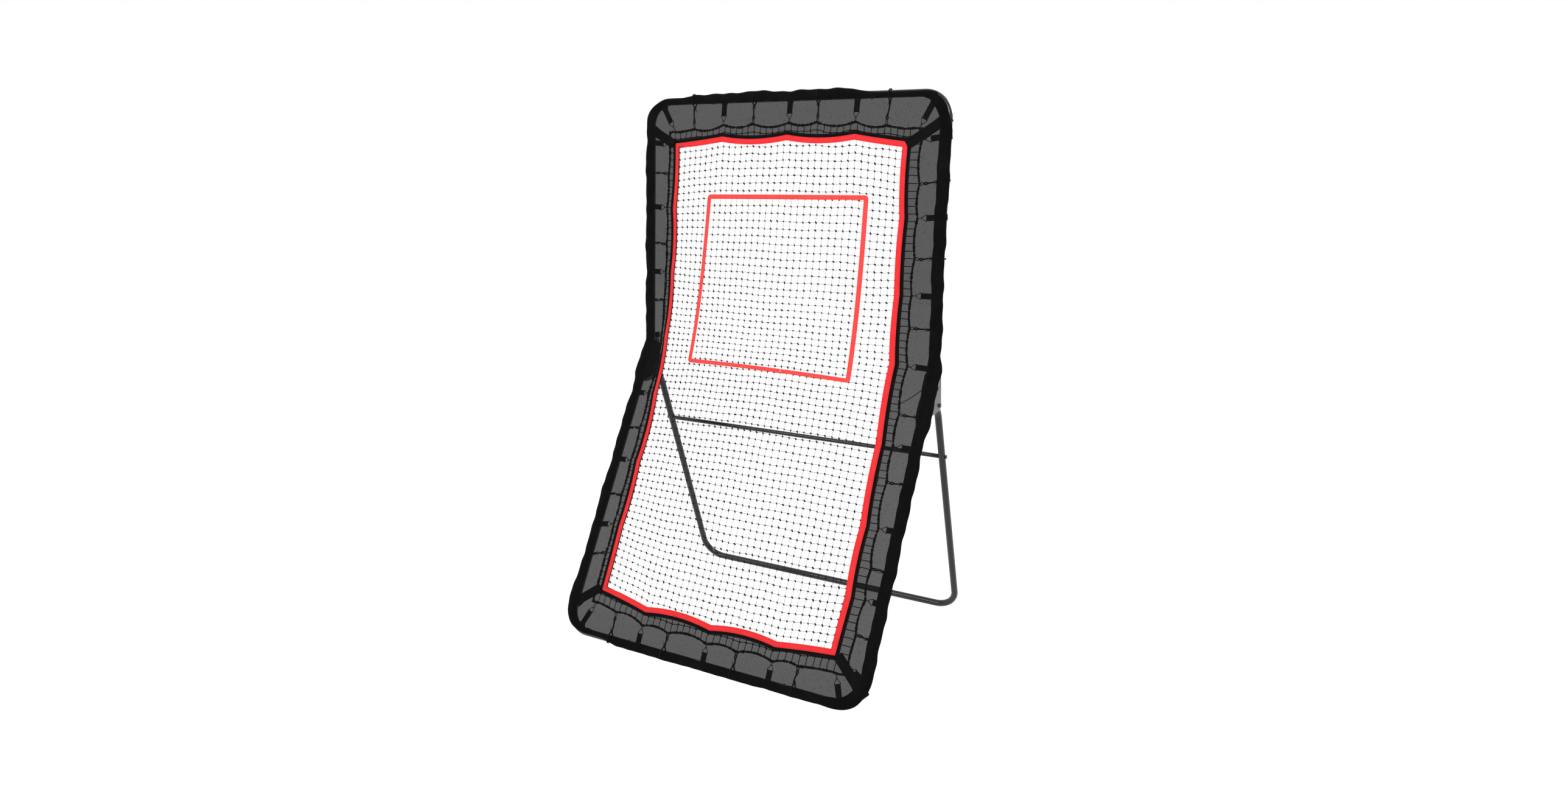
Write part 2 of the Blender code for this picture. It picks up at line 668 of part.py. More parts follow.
def add_band(prefix, panel, sign, cross):
    # The band covers the front of the tubes and is round at the corners.
    steps = 6
    stations = [(-1.0, sign * KINK_GAP, -1.0, 0.0)]
    for side in (-1.0, 1.0):
        for k in range(steps + 1):
            part = k if side < 0.0 else steps - k
            angle = 0.5 * math.pi * part / steps
            stations.append((side, None, side * math.cos(angle), math.sin(angle)))
    stations.append((1.0, sign * KINK_GAP, 1.0, 0.0))
    work = bmesh.new()
    rings = []
    for side, s, out_x, out_s in stations:
        if s is None:
            x = side * (HALF_WIDTH - CORNER_R) + CORNER_R * out_x
            s = sign * (cross - CORNER_R + CORNER_R * out_s)
        else:
            x = side * HALF_WIDTH
        ring = []
        for reach, layer in ((BAND_OUT, 0), (BAND_OUT, 1), (-BAND_IN, 1), (-BAND_IN, 0)):
            ring.append(panel.at(x + reach * out_x, s + sign * reach * out_s, BAND_N[layer]))
        rings.append(ring)
    add_rings(work, rings)
    finish_mesh("frame_band_" + prefix, work, BLACK_WEB, smooth=False)


def add_corner_strap(name, panel, side, sign, cross, reach):
    # A diagonal strap, flat on the corner of the band and then down to the corner of the binding.
    tape = BLACK_TAPE[1]
    outer = Vector((side * (HALF_WIDTH - 0.0285), sign * (cross - 0.0285), STRAP_ON_BAND_N))
    inner = Vector((NET_X + side * (tape + 0.004), sign * (reach + tape + 0.004), STRAP_ON_NET_N))
    middle = outer.lerp(inner, 0.27)
    middle.z = outer.z
    flat = Vector((outer.x - inner.x, outer.y - inner.y, 0.0)).normalized()
    across = Vector((-flat.y, flat.x, 0.0)) * 0.5 * CORNER_STRAP
    thick = Vector((0.0, 0.0, 0.0012))
    work = bmesh.new()
    rings = []
    for end in (outer, middle, inner):
        corners = (end - across, end + across, end + across + thick, end - across + thick)
        rings.append([panel.at(corner.x, corner.y, corner.z) for corner in corners])
    add_rings(work, rings)
    finish_mesh(name, work, BLACK_WEB, smooth=False)


def add_zone(name, panel, corners, open_side):
    # The strike zone is a tape frame on the net, left open where it crosses the kink.
    order = corners[3:] + corners[:3] if open_side == "bottom" else corners
    if open_side == "bottom":
        run = (order[0], order[1], order[2], order[3])
    else:
        run = (order[0], order[3], order[2], order[1])
    middle = Vector((sum(c[0] for c in corners) / 4.0, sum(c[1] for c in corners) / 4.0))
    outer = [Vector(corner) for corner in run]
    inner = []
    for index, (x, s) in enumerate(run):
        in_s = 0.0 if index in (0, 3) else math.copysign(ZONE_TAPE, middle.y - s)
        inner.append(Vector((x + math.copysign(ZONE_TAPE, middle.x - x), s + in_s)))
    work = bmesh.new()
    rings = []
    for leg in range(3):
        parts = ZONE_PARTS if leg == 1 or open_side == "bottom" else 2
        for k in range(parts + (leg == 2)):
            edge = outer[leg].lerp(outer[leg + 1], k / parts)
            inside = inner[leg].lerp(inner[leg + 1], k / parts)
            rings.append([panel.strung(*edge, ZONE_N), panel.strung(*inside, ZONE_N),
                          panel.strung(*inside, ZONE_N + ZONE_T), panel.strung(*edge, ZONE_N + ZONE_T)])
    add_rings(work, rings)
    finish_mesh(name, work, RED_WEB, smooth=False)


def tension_frame(panel, x, s, out_x, out_s):
    # A place on a tube centre line, the way out from the net and the way along the tube.
    out = panel.along(out_x, out_s).normalized()
    return panel.at(x, s), out, out.cross(panel.front)


def wrap_angles(wrap, steps):
    return [math.radians(wrap[0] + (wrap[1] - wrap[0]) * k / steps) for k in range(steps + 1)]


def add_strap(work, panel, place, out, along, rope_reach, wrap, lift):
    # A webbing strap folded round the tube, then the wire ring in its fold and the hook on the rope,
    # which stands forward by the lift.
    inner = TUBE_R + STRAP_CLEAR
    half = 0.5 * STRAP_W
    middle = 0.5 * STRAP_T
    ring_at = STRAP_REACH + RING_RUN
    run = [
        (-rope_reach, NET_N, 0.0, 1.0, HOOK_R, HOOK_R),
        (-ring_at, NET_N, 0.0, 1.0, HOOK_R, HOOK_R),
        (-ring_at + 0.003, NET_N, 0.0, 1.0, RING_ROD, 0.0045),
        (-STRAP_REACH, NET_N, 0.0, 1.0, RING_ROD, half),
        (-STRAP_REACH + 0.003, NET_N, 0.0, 1.0, RING_ROD, half),
        (-STRAP_REACH + 0.004, NET_N, 0.0, 1.0, middle, half),
        (-inner - 0.006, NET_N, 0.0, 1.0, middle, half),
    ]
    slope = lift / (rope_reach - inner)
    run = [(reach, n + slope * (-reach - inner), *rest) for reach, n, *rest in run]
    for angle in wrap_angles(wrap, 8):
        across = math.cos(angle)
        ahead = math.sin(angle)
        run.append(((inner + middle) * across, (inner + middle) * ahead, across, ahead, middle, half))
    rings = []
    for reach, n, thick_out, thick_front, thickness, width in run:
        centre = place + reach * out + n * panel.front
        thick = thickness * (thick_out * out + thick_front * panel.front)
        rings.append([centre - thick - width * along, centre - thick + width * along,
                      centre + thick + width * along, centre + thick - width * along])
    add_rings(work, rings)


def add_cord(work, panel, place, out, along, rope_reach, wrap, lift):
    # A shock cord with its ball, from the rope to the tube and hooked part of the way round it.
    reach = TUBE_R + STRAP_CLEAR + CORD_R
    angles = wrap_angles(wrap, 5)
    start = place - rope_reach * out + (NET_N + lift) * panel.front
    end = place + reach * (math.cos(angles[0]) * out + math.sin(angles[0]) * panel.front)
    rings = []
    for part, radius in ((0.0, CORD_R), (0.42, CORD_R), (0.47, BALL_R), (0.56, BALL_R), (0.61, CORD_R)):
        rings.append(round_ring(start.lerp(end, part), along, -panel.front, radius, 4))
    for angle in angles:
        ray = math.cos(angle) * out + math.sin(angle) * panel.front
        rings.append(round_ring(place + reach * ray, along, ray, CORD_R, 4))
    add_rings(work, rings)


def add_lacing(prefix, panel, sign, cross, rope_cross, sides):
    # The rope round the net with every strap and shock cord that laces it to the tubes.
    across = [x - NET_X for x in sorted(STRAPS_ACROSS[1:-1] + CORDS_ACROSS)]
    held = [sorted(abs(s) for s in straps + cords) for straps, cords in sides]
    path = rim_path(ROPE_HALF, rope_cross, sign * 0.010, held, across, ROPE_SAG, 2)
    work = bmesh.new()
    rings = []
    for x, s, step_x, step_s in path:
        inward = panel.along(step_x, step_s).normalized()
        rings.append(round_ring(panel.strung(x, s, NET_N), inward, panel.front, ROPE_R, 5))
    add_rings(work, rings)
    rope = finish_mesh("net_lacing_" + prefix, work, BLACK_WEB, smooth=False)
    cross_reach = abs(cross) - abs(rope_cross) + ROPE_BITE
    straps_round = (150.0, 10.0) if sign < 0.0 else FULL_WRAP
    cords_round = (-168.0, -76.0) if sign < 0.0 else BACK_WRAP
    members = [(add_strap, x, sign * cross, 0.0, sign, cross_reach, straps_round) for x in STRAPS_ACROSS]
    members += [(add_cord, x, sign * cross, 0.0, sign, cross_reach, cords_round) for x in CORDS_ACROSS]
    for side, (straps, cords) in zip((-1.0, 1.0), sides):
        reach = HALF_WIDTH - ROPE_HALF - side * NET_X + ROPE_BITE
        members += [(add_strap, side * HALF_WIDTH, s, side, 0.0, reach, FULL_WRAP) for s in straps]
        members += [(add_cord, side * HALF_WIDTH, s, side, 0.0, reach, BACK_WRAP) for s in cords]
    work = bmesh.new()
    for add_member, x, s, out_x, out_s, reach, wrap in members:
        place, out, along = tension_frame(panel, x, s, out_x, out_s)
        lift = net_rise(x - reach * out_x, abs(s - reach * out_s))
        add_member(work, panel, place, out, along, reach, wrap, lift)
    apply_boolean(rope, cutter(prefix + "_lacing_members", work), "UNION")


def add_soft_goods():
    add_netting("netting_upper", UPPER, 0.010, NET_TOP, NET_ROWS_UPPER)
    add_netting("netting_lower", LOWER, NET_BOTTOM, -0.010, NET_ROWS_LOWER)
    up = (STRAPS_UP, STRAPS_UP)
    down = (STRAPS_DOWN_LEFT, STRAPS_DOWN_RIGHT)
    add_borders("upper", UPPER, 1.0, up, UPPER_RUN)
    add_borders("lower", LOWER, -1.0, down, LOWER_RUN)
    for side, word in ((-1.0, "left"), (1.0, "right")):
        add_corner_strap("corner_strap_upper_" + word, UPPER, side, 1.0, UPPER_RUN, TAPE_TOP)
        add_corner_strap("corner_strap_lower_" + word, LOWER, side, -1.0, LOWER_RUN, TAPE_BOTTOM)
    add_zone("strike_zone_upper", UPPER, ZONE_UPPER, "bottom")
    add_zone("strike_zone_lower", LOWER, ZONE_LOWER, "top")
    add_lacing("upper", UPPER, 1.0, UPPER_RUN, ROPE_TOP, ((STRAPS_UP, CORDS_UP), (STRAPS_UP, CORDS_UP)))
    add_lacing("lower", LOWER, -1.0, LOWER_RUN, ROPE_BOTTOM,
               ((STRAPS_DOWN_LEFT, CORDS_DOWN_LEFT), (STRAPS_DOWN_RIGHT, CORDS_DOWN_RIGHT)))


clear_scene()
add_frame_tubes("upper", UPPER, UPPER_RUN, -UPPER_TAIL, "head", 0.0)
add_frame_tubes("lower", LOWER, -LOWER_RUN, LOWER_TOP, "foot", -LOWER_LEAN)
add_stand_tubes()
add_crossbar()
add_plates()
add_hinge_bolts()
add_soft_goods()
print("kink", tuple(round(value, 5) for value in KINK))
print("stand pivot", tuple(round(value, 5) for value in stand_pivot()))
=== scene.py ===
# Looks of the rebound net: tubes, strung net, sewn borders, mesh skirt, frame band and lacing.
# Metres, +Z up, front to -Y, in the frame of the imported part.

import math

import bpy
import numpy as np
from mathutils import Matrix, Vector


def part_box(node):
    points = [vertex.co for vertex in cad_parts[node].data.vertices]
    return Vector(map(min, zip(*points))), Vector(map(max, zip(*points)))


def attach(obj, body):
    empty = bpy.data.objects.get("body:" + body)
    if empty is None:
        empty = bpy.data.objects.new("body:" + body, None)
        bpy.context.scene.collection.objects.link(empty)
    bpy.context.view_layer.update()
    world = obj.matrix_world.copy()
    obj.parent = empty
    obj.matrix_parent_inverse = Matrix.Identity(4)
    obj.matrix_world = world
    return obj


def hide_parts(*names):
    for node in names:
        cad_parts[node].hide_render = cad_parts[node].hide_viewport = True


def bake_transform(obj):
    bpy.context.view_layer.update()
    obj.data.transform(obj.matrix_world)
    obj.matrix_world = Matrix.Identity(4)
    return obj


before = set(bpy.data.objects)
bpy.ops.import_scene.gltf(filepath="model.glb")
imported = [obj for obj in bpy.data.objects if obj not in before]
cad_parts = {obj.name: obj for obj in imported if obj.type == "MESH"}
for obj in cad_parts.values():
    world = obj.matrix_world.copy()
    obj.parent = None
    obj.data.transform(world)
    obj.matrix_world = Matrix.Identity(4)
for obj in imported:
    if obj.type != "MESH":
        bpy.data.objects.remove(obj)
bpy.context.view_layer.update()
print("frame loaded:", len(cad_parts), "nodes")

bothFrames = ("lower_frame", "upper_frame")

panels = {
    "kink": np.array([0.0, 0.04575, 1.02801]),
    "lean": math.radians(27.0),  # how far the lower panel leans back
    "halfWidth": 0.590,  # to the side tubes' centre lines
    "lowerRun": 1.140,
    "upperRun": 0.916,
    "cornerRadius": 0.085,
    "frameTurn": 0.05,  # the front direction turns over this length on each side of the kink
    "netTurn": 0.30,  # and so it does for what is strung on the net
}

xAxis = np.array([1.0, 0.0, 0.0])
upUpper = np.array([0.0, 0.0, 1.0])
upLower = np.array([0.0, math.sin(panels["lean"]), math.cos(panels["lean"])])
netFront = np.array([0.0, -1.0, 0.25])  # about square to both panels, to turn cord sections by

# Where straps and shock cords lace the net to the tubes: bottom, right, top and left. The ends go
# by place across, the sides by place up from the kink
lacing = {
    "straps": ((-0.276, -0.002, 0.254),
               (0.777, 0.516, 0.252, 0.004, -0.285, -0.567, -0.808),
               (-0.267, 0.005, 0.263),
               (0.769, 0.529, 0.279, 0.030, -0.215, -0.486, -0.747)),
    "cords": ((-0.399, -0.166, 0.117, 0.349),
              (0.633, 0.378, 0.139, -0.172, -0.407, -0.704, -0.925),
              (-0.397, -0.141, 0.115, 0.383),
              (0.658, 0.390, 0.168, -0.358, -0.625, -0.863)),
}
allHolds = tuple(straps + cords for straps, cords in zip(lacing["straps"], lacing["cords"]))


# Colours and nodes

# An sRGB hex colour as linear red, green, blue and alpha
def linearColour(code):
    parts = np.array([int(code[place:place + 2], 16) for place in (1, 3, 5)]) / 255.0
    linear = np.where(parts <= 0.04045, parts / 12.92, ((parts + 0.055) / 1.055) ** 2.4)
    return (*linear.tolist(), 1.0)


# Adds one node with its settings. Each input takes a value, or a link from a socket or from a
# node's first output
def addNode(tree, kind, inputs=None, **settings):
    node = tree.nodes.new(kind)
    for key, value in settings.items():
        setattr(node, key, value)
    for key, value in (inputs or {}).items():
        if isinstance(value, bpy.types.Node):
            value = value.outputs[0]
        if isinstance(value, bpy.types.NodeSocket):
            tree.links.new(value, node.inputs[key])
        else:
            node.inputs[key].default_value = value
    return node


# A new material with its Principled shader set
def startMaterial(name, settings):
    material = bpy.data.materials.new(name)
    material.use_nodes = True
    shader = material.node_tree.nodes["Principled BSDF"]
    for key, value in settings.items():
        shader.inputs[key].default_value = value
    return material, material.node_tree, shader


# Mixes two colours by a factor for the base colour, and turns a height into the shader's normal
def finishMaterial(tree, shader, factor, dark, light, height, strength, depth):
    mix = addNode(tree, "ShaderNodeMix", {0: factor, 6: linearColour(dark), 7: linearColour(light)},
                  data_type="RGBA")
    tree.links.new(mix.outputs[2], shader.inputs["Base Color"])
    bump = addNode(tree, "ShaderNodeBump", {"Height": height, "Strength": strength,
                                            "Distance": depth})
    tree.links.new(bump.outputs[0], shader.inputs["Normal"])
    return mix


# Cloudy noise on the piece's own Object coordinates, one cloud about 1 / scale metres wide
def cloudyField(tree, scale, detail=3.0, stretch=(1.0, 1.0, 1.0)):
    place = addNode(tree, "ShaderNodeTexCoord")
    spread = addNode(tree, "ShaderNodeMapping", {"Vector": place.outputs["Object"],
                                                 "Scale": stretch})
    return addNode(tree, "ShaderNodeTexNoise", {"Vector": spread, "Scale": scale,
                                                "Detail": detail})


# Height of a plain weave on the UV map: |sin(pi u / spacing) sin(pi v / (spacing skew))|
def wovenField(tree, spacing, skew=1.0):
    place = addNode(tree, "ShaderNodeTexCoord")
    threads = (math.pi / spacing, math.pi / (spacing * skew), 1.0)
    turn = addNode(tree, "ShaderNodeMapping", {"Vector": place.outputs["UV"], "Scale": threads})
    parts = addNode(tree, "ShaderNodeSeparateXYZ", {"Vector": turn})
    warp, weft = (addNode(tree, "ShaderNodeMath", {0: parts.outputs[axis]}, operation="SINE")
                  for axis in "XY")
    crossing = addNode(tree, "ShaderNodeMath", {0: warp, 1: weft}, operation="MULTIPLY")
    return addNode(tree, "ShaderNodeMath", {0: crossing}, operation="ABSOLUTE")


# A finish whose tone and grain are clouds, each given as (clouds a metre, detail)
def makeCloudy(name, settings, tone, grain, dark, light, strength, depth):
    material, tree, shader = startMaterial(name, settings)
    toneField = cloudyField(tree, *tone)
    grainField = cloudyField(tree, *grain) if grain else toneField
    finishMaterial(tree, shader, toneField, dark, light, grainField, strength, depth)
    return material


# Zinc plate on pressed steel: pale grey with fine rolling marks and a soft, patchy shine
def makeZincPlate():
    material, tree, shader = startMaterial("zincPlatedSteel", {"Metallic": 1.0})
    patch = cloudyField(tree, 140.0, 4.0)
    rough = addNode(tree, "ShaderNodeMapRange", {"Value": patch, "To Min": 0.26, "To Max": 0.42})
    tree.links.new(rough.outputs[0], shader.inputs["Roughness"])
    grain = cloudyField(tree, 2400.0, 2.0, (1.0, 1.0, 0.04))  # rolling marks 0.4 mm apart
    finishMaterial(tree, shader, patch, "#474a4b", "#76797a", grain, 0.12, 0.0003)
    return material


# Woven webbing: ribbed threads with a painted highlight along their tops in the base colour, with
# two sewn seams.
# A seam is where |v - middle| is 0.3 of the width, in stitches 3.6 mm long with 1.2 mm between them
def makeWebbing(name, colours, spacing, width, roughness, shine, sheen):
    material, tree, shader = startMaterial(name, {
        "Roughness": roughness, "Specular IOR Level": shine, "IOR": 1.46,
        "Sheen Weight": sheen, "Sheen Roughness": 0.45})
    dark, light, stitch = colours
    weave = wovenField(tree, spacing)
    # base colour: a painted highlight on the thread tops from the weave, plus tone that differs at
    # random
    threadHighlightAndTone = addNode(tree, "ShaderNodeMath", {0: weave, 1: 0.45, 2: cloudyField(tree, 26.0, 4.0)},
                    operation="MULTIPLY_ADD")
    tone = addNode(tree, "ShaderNodeMapRange", {"Value": threadHighlightAndTone, "From Min": 0.25, "From Max": 1.15})
    place = addNode(tree, "ShaderNodeTexCoord")
    uv = addNode(tree, "ShaderNodeSeparateXYZ", {"Vector": place.outputs["UV"]})
    across = addNode(tree, "ShaderNodeMath", {0: uv.outputs["Y"], 1: 0.5 * width},
                     operation="SUBTRACT")
    reach = addNode(tree, "ShaderNodeMath", {0: across}, operation="ABSOLUTE")
    seam = addNode(tree, "ShaderNodeMath", {0: reach, 1: 0.30 * width, 2: 0.0007},
                   operation="COMPARE")
    run = addNode(tree, "ShaderNodeMath", {0: uv.outputs["X"], 1: 0.0024}, operation="PINGPONG")
    dash = addNode(tree, "ShaderNodeMath", {0: run, 1: 0.0006}, operation="GREATER_THAN")
    thread = addNode(tree, "ShaderNodeMath", {0: seam, 1: dash}, operation="MULTIPLY")
    sunk = addNode(tree, "ShaderNodeMath", {0: seam, 1: -0.8, 2: weave}, operation="MULTIPLY_ADD")
    mix = finishMaterial(tree, shader, tone, dark, light, sunk, 0.5, 0.0005)
    over = addNode(tree, "ShaderNodeMix", {0: thread, 6: mix.outputs[2], 7: linearColour(stitch)},
                   data_type="RGBA")
    tree.links.new(over.outputs[2], shader.inputs["Base Color"])
    return material


# Knitted polyester mesh: an open black fabric that lets a tenth of the light through
def makeSkirtMesh():
    material, tree, shader = startMaterial("knittedPolyesterMesh", {
        "Roughness": 0.9, "Specular IOR Level": 0.06})
    weave = wovenField(tree, 0.0026)  # real holes are 1 mm; drawn 2.6 mm apart so that they show
    cover = addNode(tree, "ShaderNodeMapRange", {"Value": weave, "To Min": 0.875, "To Max": 0.935})
    # closed stitches: short level dashes about 7 mm apart
    cloud = cloudyField(tree, 1.0, 1.0, (150.0, 300.0, 300.0))
    stitch = addNode(tree, "ShaderNodeMapRange", {"Value": cloud, "From Min": 0.56,
                                                  "From Max": 0.74, "To Max": 0.04})
    both = addNode(tree, "ShaderNodeMath", {0: cover, 1: stitch}, operation="ADD")
    tree.links.new(both.outputs[0], shader.inputs["Alpha"])
    finishMaterial(tree, shader, cloudyField(tree, 14.0), "#0b0b0b", "#131313", weave, 0.2, 0.0003)
    return material


# Braided shock cord and rope: a sleeve of threads 1.6 mm apart, with a dull, ribbed skin
def makeBraid():
    material, tree, shader = startMaterial("braidedShockCord", {
        "Roughness": 0.75, "Specular IOR Level": 0.10})
    weave = wovenField(tree, 0.0016, 1.4)
    finishMaterial(tree, shader, weave, "#060606", "#141415", weave, 0.7, 0.0006)
    return material


# Woven polyester of the frame band: matt black cloth of threads 1.2 mm apart, with soft creases
# whose hollows are painted darker as shade and whose tops are painted lighter
def makeBandCloth():
    material, tree, shader = startMaterial("wovenPolyesterBand", {
        "Roughness": 0.9, "Specular IOR Level": 0.05, "Sheen Weight": 0.01, "Sheen Roughness": 0.5})
    creaseHeightAndShade = cloudyField(tree, 22.0, 5.0)
    height = addNode(tree, "ShaderNodeMath", {0: wovenField(tree, 0.0012), 1: 0.12, 2: creaseHeightAndShade},
                     operation="MULTIPLY_ADD")
    # the crease clouds also set the base colour: painted shade in the hollows, painted light on the
    # tops
    finishMaterial(tree, shader, creaseHeightAndShade, "#020202", "#111111", height, 0.55, 0.0040)
    return material


# Powder coat on steel tube: smooth and glossy, near black, with orange peel about 1.6 mm across
powderCoat = makeCloudy(
    "powderCoatedSteel", {"Roughness": 0.22, "IOR": 1.50, "Specular IOR Level": 0.47},
    tone=(9.0, 3.0), grain=(620.0, 2.0), dark="#09090b", light="#121214", strength=0.10,
    depth=0.0004)
# Knotted polyethylene twine: dull black plastic fibre with a slight gloss
twine = makeCloudy(
    "polyethyleneTwine", {"Roughness": 0.62, "Specular IOR Level": 0.15},
    tone=(900.0, 2.0), grain=None, dark="#060606", light="#121212", strength=0.3, depth=0.0003)
# Moulded nylon: smooth black plastic with a soft highlight
nylon = makeCloudy(
    "mouldedNylon", {"Roughness": 0.38, "IOR": 1.53},
    tone=(300.0, 2.0), grain=None, dark="#0a0a0b", light="#121213", strength=0.05, depth=0.0003)
# Blackened steel wire of the triangle rings and hooks: dark with a dull metal shine
blackWire = makeCloudy(
    "blackenedSteelWire", {"Metallic": 0.8, "Roughness": 0.40},
    tone=(220.0, 3.0), grain=None, dark="#151516", light="#2a2a2c", strength=0.05, depth=0.0002)
zincPlate = makeZincPlate()
blackWebbing = makeWebbing("blackPolyesterWebbing", colours=("#050505", "#121212", "#1c1c1c"),
                           spacing=0.0014, width=0.020, roughness=0.80, shine=0.05, sheen=0.01)
redWebbing = makeWebbing("redPolypropyleneWebbing", colours=("#d92528", "#e93235", "#c72026"),
                         spacing=0.0015, width=0.0195, roughness=0.62, shine=0.15, sheen=0.06)
redTape = makeWebbing("redPolyesterTape", colours=("#e03e3b", "#ef4d49", "#d63b38"),
                      spacing=0.0013, width=0.0165, roughness=0.62, shine=0.15, sheen=0.06)
skirtMesh = makeSkirtMesh()
braid = makeBraid()
bandCloth = makeBandCloth()
print("materials made")


# Shapes

# 0 up to 0, 1 from 1, and 3 v^2 - 2 v^3 between
def smoothStep(value):
    value = np.clip(value, 0.0, 1.0)
    return value * value * (3.0 - 2.0 * value)


def unit(vectors):
    return vectors / np.linalg.norm(vectors, axis=-1, keepdims=True)


# A point x across, t up from the kink and n in front. Base point = kink + x X + t up, where up
# turns at the kink; the front direction turns smoothly over the length soft on each side of it
def bentPoint(x, t, n, soft):
    x, t, n = np.broadcast_arrays(np.asarray(x, float), t, n)
    angle = panels["lean"] * (1.0 - smoothStep((t + soft) / (2.0 * soft)))
    front = np.stack([np.zeros_like(angle), -np.cos(angle), np.sin(angle)], -1)
    up = np.where(t[..., None] >= 0.0, upUpper, upLower)
    return panels["kink"] + x[..., None] * xAxis + t[..., None] * up + n[..., None] * front


def framePoint(x, t, n):
    return bentPoint(x, t, n, panels["frameTurn"])


net = {
    "centreX": -0.0065,
    "rimRise": 0.058,  # how far the net stands forward at the bend, at its borders
    "rimRun": 0.497,
    "middleRise": 0.110,  # and in its middle
    "middleRun": 0.880,
    "rounding": 0.004,
    "bendExtra": 0.013,
    "bendReach": 0.12,
    "riseHalf": 0.480,
    "riseEdge": 0.575,
    "ropeHalf": 0.5075,
    "ropeTop": 0.8155,
    "ropeBottom": -1.0425,
}


# Rim: b = rise (1 - |t| / run)^2. Middle: a straight slope from the bend to the far edges, with a
# short rounding at the bend. Across: rim + (middle - rim) (1 - (a / half)^2), and falling to 0
# outside the rim
def netRise(x, t):
    run = np.abs(t)
    rim = net["rimRise"] * np.clip(1.0 - run / net["rimRun"], 0.0, None) ** 2
    slope = 1.0 - run / net["middleRun"]
    middle = net["middleRise"] * 0.5 * (slope + np.sqrt(slope * slope + net["rounding"]))
    middle = middle + net["bendExtra"] * np.exp(-run / net["bendReach"])
    across = np.abs(x - net["centreX"])
    bow = np.clip(1.0 - (across / net["riseHalf"]) ** 2, 0.0, None)
    outside = np.clip((net["riseEdge"] - across) / (net["riseEdge"] - net["riseHalf"]), 0.0, 1.0)
    return np.where(across < net["riseHalf"], rim + (middle - rim) * bow, rim * outside)


def netPoint(x, t, n):
    return bentPoint(x, t, netRise(x, t) + n, panels["netTurn"])


border = {
    "half": 0.4770,  # outer edge of the red tape
    "top": 0.7735,
    "bottom": -1.0025,
    "corner": 0.004,
    "hang": (0.012, 0.005, 0.011, 0.005),
    "redWidth": 0.0195,
    "redWidthLeft": 0.0150,  # the left side's tape is folded narrower
    "narrowFrom": -0.40,
    "narrowOver": 0.07,
    "bindingOut": 0.0125,
    "bindingWidth": 0.0305,
    "redHeight": 0.0086,
    "bindingHeight": 0.0068,
    "thick": 0.0014,
}

# Where the outer edge of the red border runs: along a side (t) or an end (x), then how far out
edges = {
    "right": ((-0.998, -0.808, -0.567, -0.285, 0.004, 0.252, 0.516, 0.762),
              (0.470, 0.479, 0.476, 0.470, 0.471, 0.460, 0.458, 0.456)),
    "left": ((-0.978, -0.747, -0.486, -0.215, 0.030, 0.279, 0.529, 0.764),
             (-0.484, -0.490, -0.495, -0.493, -0.486, -0.487, -0.487, -0.476)),
    "top": ((-0.476, -0.260, 0.010, 0.268, 0.456), (0.764, 0.786, 0.788, 0.787, 0.762)),
    "bottom": ((-0.484, -0.270, 0.004, 0.260, 0.470), (-0.980, -1.019, -1.023, -1.020, -0.998)),
    "topFrom": (0.25, 0.50),  # where the ends begin to draw the net, and over what run
    "bottomFrom": (-0.50, 0.48),
}

# How far the lacing outside the border is let out beyond its even width: place, amount
letOut = {
    "right": ((-1.010, -0.808, -0.500, -0.120, 0.100, 0.500, 0.700),
              (0.018, 0.019, 0.010, 0.006, 0.006, 0.013, 0.016)),
    "bottom": ((-0.480, 0.000, 0.250, 0.480), (0.009, 0.007, 0.008, 0.013)),
}


# Moves the even net to where it was laced. Shift across = (edge - even edge) (a / half)^4, shift
# along = (edge - even edge) times a smooth step towards each end. Lacing outside the border is let
# out further, growing evenly towards the rope
def settle(x, t):
    across = (x - net["centreX"]) / border["half"]
    wanted = np.where(across > 0.0, np.interp(t, *edges["right"]), np.interp(t, *edges["left"]))
    drawn = wanted - net["centreX"] - np.sign(across) * border["half"]
    shiftX = drawn * np.clip(np.abs(across), 0.0, 1.0) ** 4
    atTop = smoothStep((t - edges["topFrom"][0]) / edges["topFrom"][1])
    atBottom = smoothStep((edges["bottomFrom"][0] - t) / edges["bottomFrom"][1])
    shiftT = (atTop * (np.interp(x, *edges["top"]) - border["top"])
              + atBottom * (np.interp(x, *edges["bottom"]) - border["bottom"]))
    binding = border["half"] + border["bindingOut"]
    outside = np.clip((x - net["centreX"] - binding) / (net["ropeHalf"] - binding), 0.0, 1.0)
    foot = border["bottom"] - border["bindingOut"]
    below = np.clip((foot - t) / (foot - net["ropeBottom"]), 0.0, 1.0)
    shiftX = shiftX + outside * np.interp(t, *letOut["right"])
    shiftT = shiftT - below * np.interp(x, *letOut["bottom"])
    return x + shiftX, t + shiftT


def strungPoint(x, t, n):
    x, t = settle(x, t)
    return netPoint(x, t, n)


